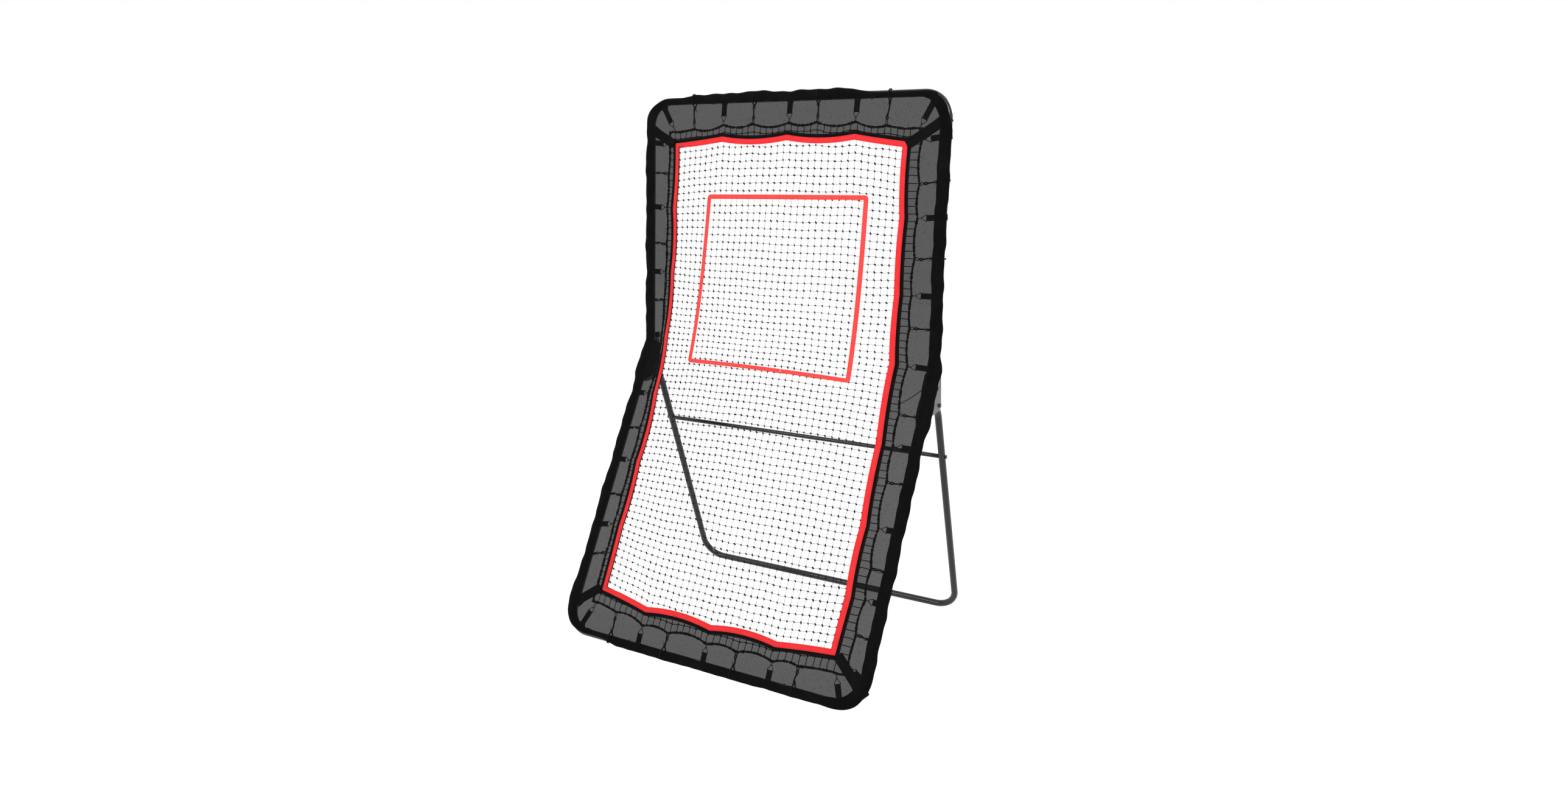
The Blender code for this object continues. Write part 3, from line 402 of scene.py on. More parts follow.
# Quads between the rows and columns of a grid of points, with UV in metres along and across it
def skin(points, around=False, along=False, caps=False):
    rows, columns = points.shape[:2]
    r, c = np.meshgrid(np.arange(rows if along else rows - 1),
                       np.arange(columns if around else columns - 1), indexing="ij")
    r1, c1 = (r + 1) % rows, (c + 1) % columns
    quads = np.stack([r * columns + c, r * columns + c1, r1 * columns + c1, r1 * columns + c], -1)
    longer = np.concatenate([points, points[:1]]) if along else points
    wider = np.concatenate([points, points[:, :1]], 1) if around else points
    u, v = (np.concatenate([[0.0], np.cumsum(
        np.linalg.norm(np.diff(grid, axis=axis), axis=-1).mean(1 - axis))])
        for axis, grid in enumerate((longer, wider)))
    uv = np.stack([np.stack([u[i], v[j]], -1)
                   for i, j in ((r, c), (r, c + 1), (r + 1, c + 1), (r + 1, c))], -2)
    quads, uv, points = quads.reshape(-1, 4), uv.reshape(-1, 4, 2), points.reshape(-1, 3)
    triangles = np.zeros((0, 3), int)
    if caps:
        first = np.arange(columns)
        last = first + (rows - 1) * columns
        total = len(points)
        points = np.concatenate([points, [points[first].mean(0), points[last].mean(0)]])
        triangles = np.concatenate([
            np.stack([np.full(columns, total), np.roll(first, -1), first], -1),
            np.stack([np.full(columns, total + 1), last, np.roll(last, -1)], -1)])
    if caps or (around and along):  # closed, so its faces turn to make the volume positive
        corner = points[quads]
        fans = (corner[:, [0, 1, 2]], corner[:, [0, 2, 3]], points[triangles])
        volume = sum(np.einsum("fi,fi->", fan[:, 0], np.cross(fan[:, 1], fan[:, 2]))
                     for fan in fans)
        if volume < 0.0:
            quads, uv, triangles = quads[:, ::-1], uv[:, ::-1], triangles[:, ::-1]
    return {"points": points, "quads": quads, "uv": uv, "triangles": triangles}


# Copies of one part: each point p goes to turn p + place
def repeated(part, turns, places):
    points = np.einsum("nij,pj->npi", turns, part["points"]) + places[:, None]
    shift = np.arange(len(places))[:, None, None] * len(part["points"])
    return {"points": points.reshape(-1, 3),
            "quads": (part["quads"][None] + shift).reshape(-1, 4),
            "uv": np.tile(part["uv"], (len(places), 1, 1)),
            "triangles": (part["triangles"][None] + shift).reshape(-1, 3)}


# Rounds each corner b of a loop by a quadratic curve between points a and c on its two sides:
# (1 - p)^2 a + 2 p (1 - p) b + p^2 c
def roundedCorners(corners, rounding, steps):
    start, end = (corners + rounding * unit(np.roll(corners, way, axis=0) - corners)
                  for way in (1, -1))
    p = np.linspace(0.0, 1.0, steps)[None, :, None]
    return ((1.0 - p) ** 2 * start[:, None] + 2.0 * p * (1.0 - p) * corners[:, None]
            + p ** 2 * end[:, None])


# Points = centre + a side + b front for each (a, b) of a section
def sectionPoints(centres, section, side, front):
    return centres[:, None] + section[..., 0:1] * side[:, None] + section[..., 1:2] * front[:, None]


# The way along a path at each of its points, from its neighbours
def wayAlong(path, closed):
    if closed:
        return unit(np.roll(path, -1, axis=0) - np.roll(path, 1, axis=0))
    return unit(np.gradient(path, axis=0))


# Carries a section of (side, normal) pairs along a path. Side = normal x way along the path
def sweep(path, section, normal, closed=False):
    way = wayAlong(path, closed)
    side = unit(np.cross(np.broadcast_to(normal, path.shape), way))
    section = np.broadcast_to(section, (len(path),) + np.shape(section)[-2:])
    points = sectionPoints(path, section, side, np.cross(way, side))
    return skin(points, around=True, along=closed, caps=not closed)


# How far each point lies along its path
def runAlong(path):
    return np.cumsum(np.linalg.norm(np.diff(path, axis=0, prepend=path[:1]), axis=1))


# A circle r (cos, sin) for each radius
def roundSection(radius, sides):
    turn = np.arange(sides) * 2.0 * np.pi / sides
    return np.asarray(radius, float)[..., None, None] * np.stack([np.cos(turn), np.sin(turn)], -1)


# Puts new data into the scene as an object
def addThing(name, data):
    thing = bpy.data.objects.new(name, data)
    bpy.context.scene.collection.objects.link(thing)
    return thing


# Puts the parts into one mesh by whole arrays and hangs it on its body. A piece given two bodies is
# left in place, on neither
def makePiece(name, parts, material, bodies, nodes=(), blendRun=0.12):
    points = np.concatenate([part["points"] for part in parts])
    points[:, 2] = np.maximum(points[:, 2], 0.0003)  # what lies under the foot is pressed flat
    starts = np.cumsum([0] + [len(part["points"]) for part in parts[:-1]])
    quads, triangles = (np.concatenate([part[kind] + start for part, start in zip(parts, starts)])
                        for kind in ("quads", "triangles"))
    uv = np.concatenate([part["uv"].reshape(-1, 2) for part in parts]
                        + [np.zeros((triangles.size, 2))])
    mesh = bpy.data.meshes.new(name)
    mesh.vertices.add(len(points))
    mesh.vertices.foreach_set("co", points.astype(np.float32).ravel())
    corners = np.concatenate([quads.ravel(), triangles.ravel()])
    mesh.loops.add(len(corners))
    mesh.loops.foreach_set("vertex_index", corners.astype(np.int32))
    starts = np.concatenate([np.arange(len(quads)) * 4,
                             len(quads) * 4 + np.arange(len(triangles)) * 3])
    mesh.polygons.add(len(starts))
    mesh.polygons.foreach_set("loop_start", starts.astype(np.int32))
    mesh.update(calc_edges=True)
    layer = mesh.uv_layers.new(name="threads")
    layer.data.foreach_set("uv", uv.astype(np.float32).ravel())
    mesh.shade_smooth()
    mesh.set_sharp_from_angle(angle=math.radians(50.0))
    mesh.materials.append(material)
    thing = addThing(name, mesh)
    if len(bodies) == 2:
        low, high = framePoint(0.0, -blendRun, 0.0), framePoint(0.0, blendRun, 0.0)
        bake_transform(thing)
    else:
        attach(thing, bodies[0])
    if nodes:
        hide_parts(*nodes)
    return thing


# Tubes of the frame and the stand

tubes = {
    "radius": 0.0127,
    "spigot": 0.0103,
    "spigotLong": 0.036,
    "bore": 0.0112,
    "boreDeep": 0.040,
    "sides": 32,
    "jointX": 0.300,
    "upperEnd": -0.072,
    "lowerEnd": -0.079,
    "jointGap": 0.0008,
    "lip": 0.0007,  # rounding of the tube ends
}

stand = {
    "foot": np.array([0.0, 0.4832, 0.01227]),
    "lean": math.radians(23.4),
    "jointLeft": -0.273,
    "jointRight": 0.065,
    "legJointLeft": 0.330,
    "legJointRight": 0.602,
    "crossbarUp": 0.746,
    "crossbarRadius": 0.0080,
    "bendUp": 0.920,
    "bendRadius": 0.070,
    "bendTurn": math.radians(22.0),
    "topRun": 0.051,
}
standUp = np.array([0.0, -math.sin(stand["lean"]), math.cos(stand["lean"])])
standFront = np.array([0.0, -math.cos(stand["lean"]), -math.sin(stand["lean"])])


def straightRun(start, end, count=8):
    start, end = np.asarray(start), np.asarray(end)
    return start + (end - start) * np.linspace(0.0, 1.0, count)[:, None]


# Along the cross run, round a quarter circle (centre x = half width - r, s = base + r), up the side
def cornerRun(origin, up, side, jointX, base, end):
    bend = panels["cornerRadius"]
    way = 1.0 if end > base else -1.0
    turn = np.linspace(0.0, 0.5 * np.pi, 20)
    x = side * (panels["halfWidth"] - bend + bend * np.sin(turn))
    s = base + way * bend * (1.0 - np.cos(turn))
    arc = x[:, None] * xAxis + s[:, None] * up
    top = side * panels["halfWidth"] * xAxis + end * up
    return origin + np.concatenate([straightRun(jointX * xAxis + base * up, arc[0])[:-1], arc,
                                    straightRun(arc[-1], top)[1:]])


# A round section carried along a path. Each end is a rounded lip, then a plug, a socket or a flat
# cap, as pairs (how far past the end, radius)
def makeTube(name, path, normal, ends, body, radius=tubes["radius"]):
    lip, bore, spigot = tubes["lip"], tubes["bore"], tubes["spigot"]
    rounded = [(-3.0 * lip, radius), (-lip, radius), (-0.3 * lip, radius - 0.3 * lip),
               (0.0, radius - lip)]
    finishes = {"plug": [(0.0001, spigot), (tubes["spigotLong"], spigot),
                         (tubes["spigotLong"] + 0.0005, spigot - 0.001)],
                "socket": [(0.0, bore + 0.0002), (-0.0003, bore), (-tubes["boreDeep"], bore)],
                "cap": [(0.0004, 0.6 * radius)]}
    start, finish = (np.array(rounded + finishes[end]) for end in ends)
    stations = np.concatenate([(path[0] + start[:, 0:1] * unit(path[0] - path[1]))[::-1],
                               path[1:-1], path[-1] + finish[:, 0:1] * unit(path[-1] - path[-2])])
    sizes = np.concatenate([start[::-1, 1], np.full(len(path) - 2, radius), finish[:, 1]])
    nearest = np.argmin(np.linalg.norm(stations[:, None] - path[None], axis=-1), axis=1)
    way = unit(np.gradient(path, axis=0)[nearest])
    side = unit(np.cross(np.broadcast_to(normal, way.shape), way))
    points = sectionPoints(stations, roundSection(sizes, tubes["sides"]), side, np.cross(way, side))
    makePiece(name + "_smooth", [skin(points, around=True, caps=True)], powderCoat, (body,),
              (name,))


def makeFrameTubes():
    joint = tubes["jointX"] - tubes["jointGap"]
    for up, cross, end, word, crossName in (
            (upLower, -panels["lowerRun"], tubes["lowerEnd"], "lower", "foot"),
            (upUpper, panels["upperRun"], tubes["upperEnd"], "upper", "head")):
        normal, body = np.cross(xAxis, up), word + "_frame"
        base = panels["kink"] + cross * up
        run = straightRun(base - joint * xAxis, base + joint * xAxis)
        makeTube(f"{word}_{crossName}_tube", run, normal, ("plug", "plug"), body)
        for side, sideWord in ((-1.0, "left"), (1.0, "right")):
            path = cornerRun(panels["kink"], up, side, side * tubes["jointX"], cross, end)
            makeTube(f"{word}_side_tube_{sideWord}", path, normal, ("socket", "cap"), body)


# Foot, corners, legs and crossbar. The top of a leg is a straight run, an arc of 70 mm radius
# towards the front, and a short straight end
def makeStandTubes():
    normal = np.cross(xAxis, standUp)
    foot, gap, half = stand["foot"], tubes["jointGap"], panels["halfWidth"]
    run = straightRun(foot + (stand["jointLeft"] + gap) * xAxis, foot + stand["jointRight"] * xAxis)
    makeTube("stand_foot_tube", run, normal, ("plug", "socket"), "rear_stand")
    run = cornerRun(foot, standUp, -1.0, stand["jointLeft"], 0.0, stand["legJointLeft"] - gap)
    makeTube("stand_corner_tube_left", run, normal, ("socket", "plug"), "rear_stand")
    run = cornerRun(foot, standUp, 1.0, stand["jointRight"] + gap, 0.0, stand["legJointRight"])
    makeTube("stand_corner_tube_right", run, normal, ("plug", "socket"), "rear_stand")
    turn = np.linspace(0.0, stand["bendTurn"], 12)[:, None]
    bend = stand["bendUp"] * standUp + stand["bendRadius"] * (
        np.sin(turn) * standUp + (1.0 - np.cos(turn)) * standFront)
    last = math.cos(stand["bendTurn"]) * standUp + math.sin(stand["bendTurn"]) * standFront
    for side, word, joint, start in ((-1.0, "left", stand["legJointLeft"], "socket"),
                                     (1.0, "right", stand["legJointRight"] + gap, "plug")):
        run = np.concatenate([straightRun(joint * standUp, bend[0])[:-1], bend,
                              straightRun(bend[-1], bend[-1] + stand["topRun"] * last)[1:]])
        makeTube(f"stand_leg_tube_{word}", foot + side * half * xAxis + run, xAxis, (start, "cap"),
                 "rear_stand")
    half = half - tubes["radius"] - 0.0004
    middle = foot + stand["crossbarUp"] * standUp
    makeTube("stand_crossbar", straightRun(middle - half * xAxis, middle + half * xAxis), normal,
             ("cap", "cap"), "rear_stand", stand["crossbarRadius"])


button = {"radius": 0.0030, "dome": 0.0022}


# A pin with a domed end: radius r cos(a) at height h sin(a), on the CAD button's own axis
def makeSnapButton(name):
    low, high = (np.array(corner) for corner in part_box(name))
    middle = 0.5 * (low + high)
    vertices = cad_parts[name].data.vertices
    points = np.empty(3 * len(vertices), np.float32)
    vertices.foreach_get("co", points)
    points = points.reshape(-1, 3).astype(float)
    axis = unit(np.linalg.svd(points - points.mean(0), full_matrices=False)[2][0])
    reach = (points - middle) @ axis
    spread = np.linalg.norm(points - middle - reach[:, None] * axis, axis=1)
    # the thinner end is the one that shows
    blunt = spread[reach < 0.8 * reach.min()].max()
    outward = axis if spread[reach > 0.8 * reach.max()].max() < blunt else -axis
    top = np.abs(reach).max()
    turn = np.linspace(0.0, 1.45, 8)
    height = np.concatenate([[-top], top - button["dome"] + button["dome"] * np.sin(turn)])
    radius = np.concatenate([[button["radius"]], button["radius"] * np.cos(turn)])
    other = unit(np.cross(outward, [0.31, 0.52, 0.79]))  # any way that isn't along the pin
    centres = middle + height[:, None] * outward
    side, front = (np.broadcast_to(way, centres.shape) for way in (other, np.cross(outward, other)))
    points = sectionPoints(centres, roundSection(radius, 20), side, front)
    makePiece(name + "_dome", [skin(points, around=True, caps=True)], zincPlate, (name,),
              (name,))


# The plates, bolts and nuts stay as CAD made them, with their edges eased by a small bevel
def finishFittings():
    for name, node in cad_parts.items():
        if "hinge_plate" in name or "_bolt" in name:
            node.data.materials.clear()
            node.data.materials.append(zincPlate)
            node.modifiers.new("weld", "WELD").merge_threshold = 0.00001
            ease = node.modifiers.new("ease", "BEVEL")
            ease.width = 0.0005
            ease.segments = 2
            ease.limit_method = "ANGLE"
            ease.angle_limit = math.radians(35.0)


makeFrameTubes()
makeStandTubes()
for nodeName in sorted(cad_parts):
    if "snap_button" in nodeName:
        makeSnapButton(nodeName)
finishFittings()
print("tubes, buttons and fittings made")


# Lines round the net: each goes along the bottom, up the right, along the top and down the left

counts = {"across": 181, "up": 321, "corner": 15}  # points along a level side, a side and a corner


# A rounded rectangle in x and t with its outward direction. A corner is centre + r (cos, sin)
def ringLine(half, top, bottom, radius, centre):
    across = np.linspace(-half + radius, half - radius, counts["across"])
    up = np.linspace(bottom + radius, top - radius, counts["up"])
    turn = np.linspace(0.0, 0.5 * np.pi, counts["corner"])[1:-1]
    pieces = []
    # each side: its run, its level, the way out, and the centre of the corner at its end
    for side, (run, level, outX, outT, cx, ct) in enumerate((
            (across, bottom, 0.0, -1.0, across[-1], up[0]),
            (up, half, 1.0, 0.0, across[-1], up[-1]),
            (across[::-1], top, 0.0, 1.0, across[0], up[-1]),
            (up[::-1], -half, -1.0, 0.0, across[0], up[0]))):
        ones = np.ones_like(run)
        x, t, place = (level * ones, run, run) if side % 2 else (run, level * ones, run + centre)
        pieces.append((x, t, outX * ones, outT * ones, side * ones, place))
        angle = turn + 0.5 * np.pi * (side - 1)
        pieces.append((cx + radius * np.cos(angle), ct + radius * np.sin(angle), np.cos(angle),
                       np.sin(angle), -np.ones_like(angle), 0.0 * angle))
    x, t, outX, outT, side, place = (np.concatenate(column) for column in zip(*pieces))
    return {"x": x + centre, "t": t, "outX": outX, "outT": outT, "side": side, "place": place}


# How far a line hangs in between its holds: depth 4 p (1 - p), p the share of the way between two.
# The depth is whole for holds 250 mm apart and grows with the gap. The short runs beside a corner
# are nearly straight
def hangBetween(ring, holds, depth):
    hang = np.zeros_like(ring["x"])
    for side, (places, amount) in enumerate(zip(holds, depth)):
        here = ring["side"] == side
        along = ring["place"][here]
        marks = np.sort(np.concatenate([[along.min() - 0.001, along.max() + 0.001], places]))
        index = np.clip(np.searchsorted(marks, along) - 1, 0, len(marks) - 2)
        gap = marks[index + 1] - marks[index]
        share = (along - marks[index]) / gap
        flat = np.where((index == 0) | (index == len(marks) - 2), 0.2, 1.0)
        hang[here] = amount * 4.0 * share * (1.0 - share) * np.clip(gap / 0.25, 0.2, 1.3) * flat
    return hang


# The same line moved inwards, the corners with it
def shifted(ring, inward):
    return dict(ring, x=ring["x"] - ring["outX"] * inward, t=ring["t"] - ring["outT"] * inward)


# A ring round the net that hangs inwards between its holds
def hungRing(half, top, bottom, radius, holds, depth):
    ring = ringLine(half, top, bottom, radius, net["centreX"])
    return shifted(ring, hangBetween(ring, holds, depth))


# A flat tape round the net between two inward offsets, its upper side slightly crowned
def tapeRing(ring, outer, inner, height):
    share = np.array([0.0, 0.0, 0.08, 0.30, 0.50, 0.70, 0.92, 1.0, 1.0, 0.5])
    lift = np.array([0.0, 0.7, 1.0, 1.25, 1.15, 1.25, 1.0, 0.7, 0.0, 0.0]) * border["thick"]
    tape = shifted({key: value[:, None] for key, value in ring.items()},
                   outer + (np.reshape(inner, (-1, 1)) - outer) * share)
    return skin(strungPoint(tape["x"], tape["t"], height + lift), around=True, along=True)


def makeBorders():
    ring = hungRing(border["half"], border["top"], border["bottom"], border["corner"],
                    lacing["straps"], border["hang"])
    narrow = smoothStep((border["narrowFrom"] - ring["x"]) / border["narrowOver"])
    wide = border["redWidth"] + (border["redWidthLeft"] - border["redWidth"]) * narrow
    makePiece("redBorderTape", [tapeRing(ring, 0.0, wide, border["redHeight"])], redWebbing,
              bothFrames, ("border_red_lower", "border_red_upper"))
    outer = -border["bindingOut"]
    black = tapeRing(ring, outer, outer + border["bindingWidth"], border["bindingHeight"])
    makePiece("blackBindingTape", [black], blackWebbing, bothFrames,
              ("binding_black_lower", "binding_black_upper"))


makeBorders()
print("borders made")


# The knotted net

knotted = {
    "columns": 20,  # squares from the middle to the rope on each side
    "rows": 72,
    "insideAcross": 0.00044,  # cords inside the border look thin against the light
    "insideUp": 0.00038,
    "outsideCord": 0.00150,
    "knotLong": 0.0049,
    "knotWide": 0.0027,
    "lowerCord": 0.42,  # how much thicker the cords look on the lower panel
    "lowerKnot": 0.05,
    "lowerFrom": 0.05,  # from this far above the bend down, over lowerRun
    "lowerRun": 0.25,
    "underBorder": 0.004,  # where the cords swell under the border
    "rimCorner": 0.004,
    "slant": math.radians(-42.0),
    "slantSpread": 0.30,
    "knotSizes": (0.85, 1.15),
    "slack": 0.0009,
    "wander": 0.0011,
}

ropeShape = {"radius": 0.0041, "corner": 0.012, "hang": (0.018, 0.008, 0.024, 0.007),
             "height": 0.0040, "lay": ((0.12, 0.0131, 0.0),), "rough": 0.20}


# Where the cords cross: x and t of each knot. The rim of the lattice follows the hanging rope, and
# the rest wanders by two crossing waves
def latticePlaces():
    across = np.arange(-knotted["columns"], knotted["columns"] + 1) / knotted["columns"]
    level = np.arange(knotted["rows"] + 1) / knotted["rows"]
    low, high = net["ropeBottom"], net["ropeTop"]
    t = low + (high - low) * level
    x = net["centreX"] + across * net["ropeHalf"]
    gridX, gridT = np.meshgrid(x, t)
    rim = ringLine(net["ropeHalf"], high, low, knotted["rimCorner"], net["centreX"])
    hang = hangBetween(rim, allHolds, ropeShape["hang"])
    foot, right, head, left = (
        np.interp(places, rim[key][rim["side"] == side][::step], hang[rim["side"] == side][::step])
        for side, (places, key, step) in enumerate(((x, "x", 1), (t, "t", 1), (x, "x", -1),
                                                    (t, "t", -1))))
    sideways = np.where(across > 0, -right[:, None], left[:, None]) * np.abs(across) ** 5
    upright = (foot * (1.0 - level[:, None]) ** 24) - head * level[:, None] ** 24
    waveX = knotted["wander"] * (np.sin(gridT * 21.0 + gridX * 9.0)
                                 + 0.6 * np.sin(gridT * 47.0 - gridX * 31.0))
    waveT = knotted["wander"] * (np.sin(gridX * 19.0 - gridT * 7.0)
                                 + 0.6 * np.sin(gridX * 43.0 + gridT * 29.0))
    calm = 1.0 - np.abs(across) ** 8
    return gridX + sideways + waveX * calm, gridT + upright + waveT * calm


# 0 on the upper panel, rising to 1 on the lower one
def towardsFoot(t):
    return smoothStep((knotted["lowerFrom"] - t) / knotted["lowerRun"])


# Round cords along the rows of a lattice, with a point between each two knots that wanders a little
def cordLines(x, t, seed, insideRadius):
    noise = np.random.default_rng(seed)
    lines, points = x.shape
    allX, allT = np.empty((2, lines, 2 * points - 1))
    for line, knots in ((allX, x), (allT, t)):
        line[:, 0::2] = knots
        line[:, 1::2] = (0.5 * (knots[:, 1:] + knots[:, :-1])
                         + noise.normal(0.0, knotted["slack"], (lines, points - 1)))
    path = strungPoint(allX, allT, ropeShape["height"])
    edge = knotted["underBorder"]
    inside = ((np.abs(allX - net["centreX"]) < border["half"] - edge)
              & (allT < border["top"] - edge) & (allT > border["bottom"] + edge))
    thin = insideRadius * (1.0 + knotted["lowerCord"] * towardsFoot(allT))
    radius = np.where(inside, thin, knotted["outsideCord"])
    return [sweep(path[line], roundSection(radius[line], 4), netFront) for line in range(lines)]


# A knot is a spindle, long along the diagonal: radius = wide sqrt(1 - (h / long)^2)
def makeNet():
    x, t = latticePlaces()
    cords = (cordLines(x, t, 5, knotted["insideAcross"])
             + cordLines(x.T, t.T, 8, knotted["insideUp"]))
    makePiece("netCords", cords, twine, bothFrames, ("netting_lower", "netting_upper"))
    height = np.array([-0.96, -0.55, 0.0, 0.55, 0.96])
    ring = roundSection(knotted["knotWide"] * np.sqrt(1.0 - height ** 2), 6)
    along = np.broadcast_to(height[:, None, None] * knotted["knotLong"], (5, 6, 1))
    knot = skin(np.concatenate([along, ring], -1), around=True, caps=True)
    noise = np.random.default_rng(3)
    places = strungPoint(x, t, ropeShape["height"]).reshape(-1, 3)
    angle = (knotted["slant"] + noise.normal(0.0, knotted["slantSpread"], len(places)))[:, None]
    t = t.reshape(-1, 1)
    up = np.where(t >= 0.0, upUpper, upLower)
    long = np.cos(angle) * xAxis + np.sin(angle) * up
    wide = unit(-np.sin(angle) * xAxis + np.cos(angle) * up)
    size = noise.uniform(*knotted["knotSizes"], len(places))[:, None, None]
    turns = np.stack([long, wide, np.cross(long, wide)], -1) * size
    turns = turns * (1.0 + knotted["lowerKnot"] * towardsFoot(t[..., None]))
    makePiece("netKnots", [repeated(knot, turns, places)], twine, bothFrames)


makeNet()
print("net made")


# The rope round the net, the mesh skirt and the frame band

skirt = {
    "inner": 0.4880,
    "top": 0.785,
    "bottom": -1.014,
    "innerCorner": 0.006,
    "outer": 0.5790,
    "outerCorner": 0.070,
    "outerEdge": 0.011,  # inside the head and foot tubes' centre lines
    "innerHeight": 0.0092,
    "outerHeight": 0.0151,
    "sag": 0.0008,
    "folds": ((0.0010, 0.071, 0.0), (0.0008, 0.193, 1.0)),  # depth, length, start
    "dip": 0.6,  # how much of its sag and folds shows
    "rows": 13,  # from the border to the tube
}

band = {
    # Section from behind the tube's outer side round its front: outwards from the tube's centre
    # line, and in front of it
    "offsets": (-0.0190, -0.0150, -0.0080, 0.0, 0.0080, 0.0150, 0.0190, 0.0207,
                0.0195, 0.0178, 0.0140, 0.0070, 0.0, -0.0070, -0.0140, -0.0186),
    "heights": (0.0141, 0.0154, 0.0165, 0.0170, 0.0165, 0.0144, 0.0105, 0.0050,
                0.0050, 0.0098, 0.0130, 0.0151, 0.0157, 0.0152, 0.0143, 0.0132),
    "bulge": (0.0050, 0.0020, 0.0050, 0.0050),  # how far it stands out between the straps
    "waves": ((0.0016, 0.163, 0.0), (0.00112, 0.071, 1.3)),  # depth, length, start
    "innerWaves": 0.7,  # how much of them shows on the inner edge
    "ripple": ((0.0006, 0.047, 0.0),),
    "stiffAt": 0.008,  # drawn in this far, it neither bulges nor waves
    # Where the band draws in and the tube shows outside it: across, up the panel, reach, how much
    "drawnIn": ((-0.495, 0.916, 0.085, 0.0085), (0.425, 0.916, 0.150, 0.0130),
                (0.575, 0.890, 0.070, 0.0070), (-0.505, -1.130, 0.120, 0.0150),
                (0.565, -1.115, 0.070, 0.0020)),
    # Where it stands out
    "loose": ((-0.605, -1.060, 0.090, 0.0130), (0.604, 0.002, 0.045, 0.0085),
              (0.596, -0.140, 0.085, 0.0065)),
    "cornerFill": 0.0060,
    "crossInner": 0.62,  # the head and the foot show less of the inner edge
    "left": (-0.178, 0.012, 0.040),  # wider over the brackets: from, to, by how much inwards
    "leftOut": 0.15,  # and this share of it outwards
    "right": (-0.205, -0.004, 0.0060),
    "bracketSoft": (0.045, 0.022),  # how softly that starts at its lower and its upper end
    "upperRight": 0.0065,  # drawn towards the net on the right of the upper panel
    "upperRightFrom": (0.16, 0.20, 0.55),  # from here up, over this run, outside this far across
}


# The sum of depth sin(2 pi run / length + start) over waves of (depth, length, start)
def waveSum(run, waves):
    return sum(depth * np.sin(run * 2.0 * np.pi / length + start) for depth, length, start in waves)


def makeRope():
    ring = hungRing(net["ropeHalf"], net["ropeTop"], net["ropeBottom"], ropeShape["corner"],
                    allHolds, ropeShape["hang"])
    path = strungPoint(ring["x"], ring["t"], ropeShape["height"])
    run = runAlong(path)
    noise = np.random.default_rng(11)
    rough = ropeShape["radius"] * (1.0 + waveSum(run, ropeShape["lay"])
                                   + noise.normal(0.0, ropeShape["rough"], len(run)))
    makePiece("rimRope", [sweep(path, roundSection(rough, 8), netFront, closed=True)], braid,
              bothFrames, ("net_lacing_lower", "net_lacing_upper"))
    return ring


# Straight lines from the border to the tube, dipped by sin(pi share) times sag and folds
def makeSkirt():
    inner = hungRing(skirt["inner"], skirt["top"], skirt["bottom"], skirt["innerCorner"],
                     lacing["straps"], border["hang"])
    outer = ringLine(skirt["outer"], panels["upperRun"] - skirt["outerEdge"],
                     skirt["outerEdge"] - panels["lowerRun"], skirt["outerCorner"], 0.0)
    low = strungPoint(inner["x"], inner["t"], skirt["innerHeight"])
    high = framePoint(outer["x"], outer["t"], skirt["outerHeight"])
    share = np.linspace(0.0, 1.0, skirt["rows"])[None, :, None]
    run = runAlong(high)
    fold = waveSum(run, skirt["folds"])
    front = unit(np.cross(xAxis, np.where(outer["t"][:, None] >= 0.0, upUpper, upLower)))
    dip = (fold[:, None] + skirt["sag"]) * np.sin(np.pi * share[..., 0])
    points = (low[:, None] + (high - low)[:, None] * share
              - dip[..., None] * front[:, None] * skirt["dip"])
    return makePiece("meshSkirt", [skin(points, along=True)], skirtMesh, bothFrames,
                     ("mesh_skirt_lower", "mesh_skirt_upper"))


# Folded over the front of the tubes: section offsets stretched outwards where the cloth bulges,
# waves or hangs loose, drawn in at some corners, and moved on the inner side
def makeBand():
    offsets, heights = np.array(band["offsets"]), np.array(band["heights"])
    line = ringLine(panels["halfWidth"], panels["upperRun"], -panels["lowerRun"],
                    panels["cornerRadius"], 0.0)
    x, t, side = line["x"], line["t"], line["side"]
    bulge = hangBetween(line, lacing["straps"], band["bulge"])
    run = runAlong(np.stack([x, t], -1))
    waves = waveSum(run, band["waves"])
    stretch = np.clip(offsets, 0.0, None) / offsets.max()
    shrink = np.clip(-offsets, 0.0, None) / -offsets.min()
    softLow, softHigh = band["bracketSoft"]
    left, right = (smoothStep((t - low) / softLow) * smoothStep((high - t) / softHigh)
                   * (side == on) * amount
                   for (low, high, amount), on in ((band["left"], 3), (band["right"], 1)))
    # each spot is full within half its reach and gone a third beyond it
    drawn, loose = (np.stack([amount * smoothStep(1.6 - 1.2 * np.hypot(x - across, t - up) / reach)
                              for across, up, reach, amount in band[kind]])
                    for kind in ("drawnIn", "loose"))
    drawn, loose = drawn.max(0), loose.sum(0)
    corner = np.abs(line["outX"] * line["outT"]) * 2.0
    free = 1.0 - np.clip(drawn / band["stiffAt"], 0.0, 1.0)
    slim = np.where((side == 2) | (side == 0), band["crossInner"], 1.0)
    # changes softly, as the mean over 25 points of the line
    slim = np.convolve(np.pad(slim, 12, mode="wrap"), np.full(25, 0.04), mode="valid")
    out = (bulge + waves + band["leftOut"] * left) * free + loose - drawn
    inner = band["innerWaves"] * waves[::-1] - left - right - corner * band["cornerFill"]
    start, over, beyond = band["upperRightFrom"]
    pulled = band["upperRight"] * smoothStep((t - start) / over) * (x > beyond)
    offset = (offsets * np.where(offsets < 0.0, slim[:, None], 1.0) + out[:, None] * stretch
              + inner[:, None] * shrink - pulled[:, None])
    ripple = waveSum(run, band["ripple"])[:, None] * (stretch + shrink)
    points = framePoint(x[:, None] + line["outX"][:, None] * offset,
                        t[:, None] + line["outT"][:, None] * offset, heights + ripple)
    return makePiece("frameBand", [skin(points, around=True, along=True)], bandCloth, bothFrames,
                     ("frame_band_lower", "frame_band_upper"), blendRun=0.05)


ropeRing = makeRope()
skirtSheet = makeSkirt()
frameBand = makeBand()
print("rope, skirt and band made")


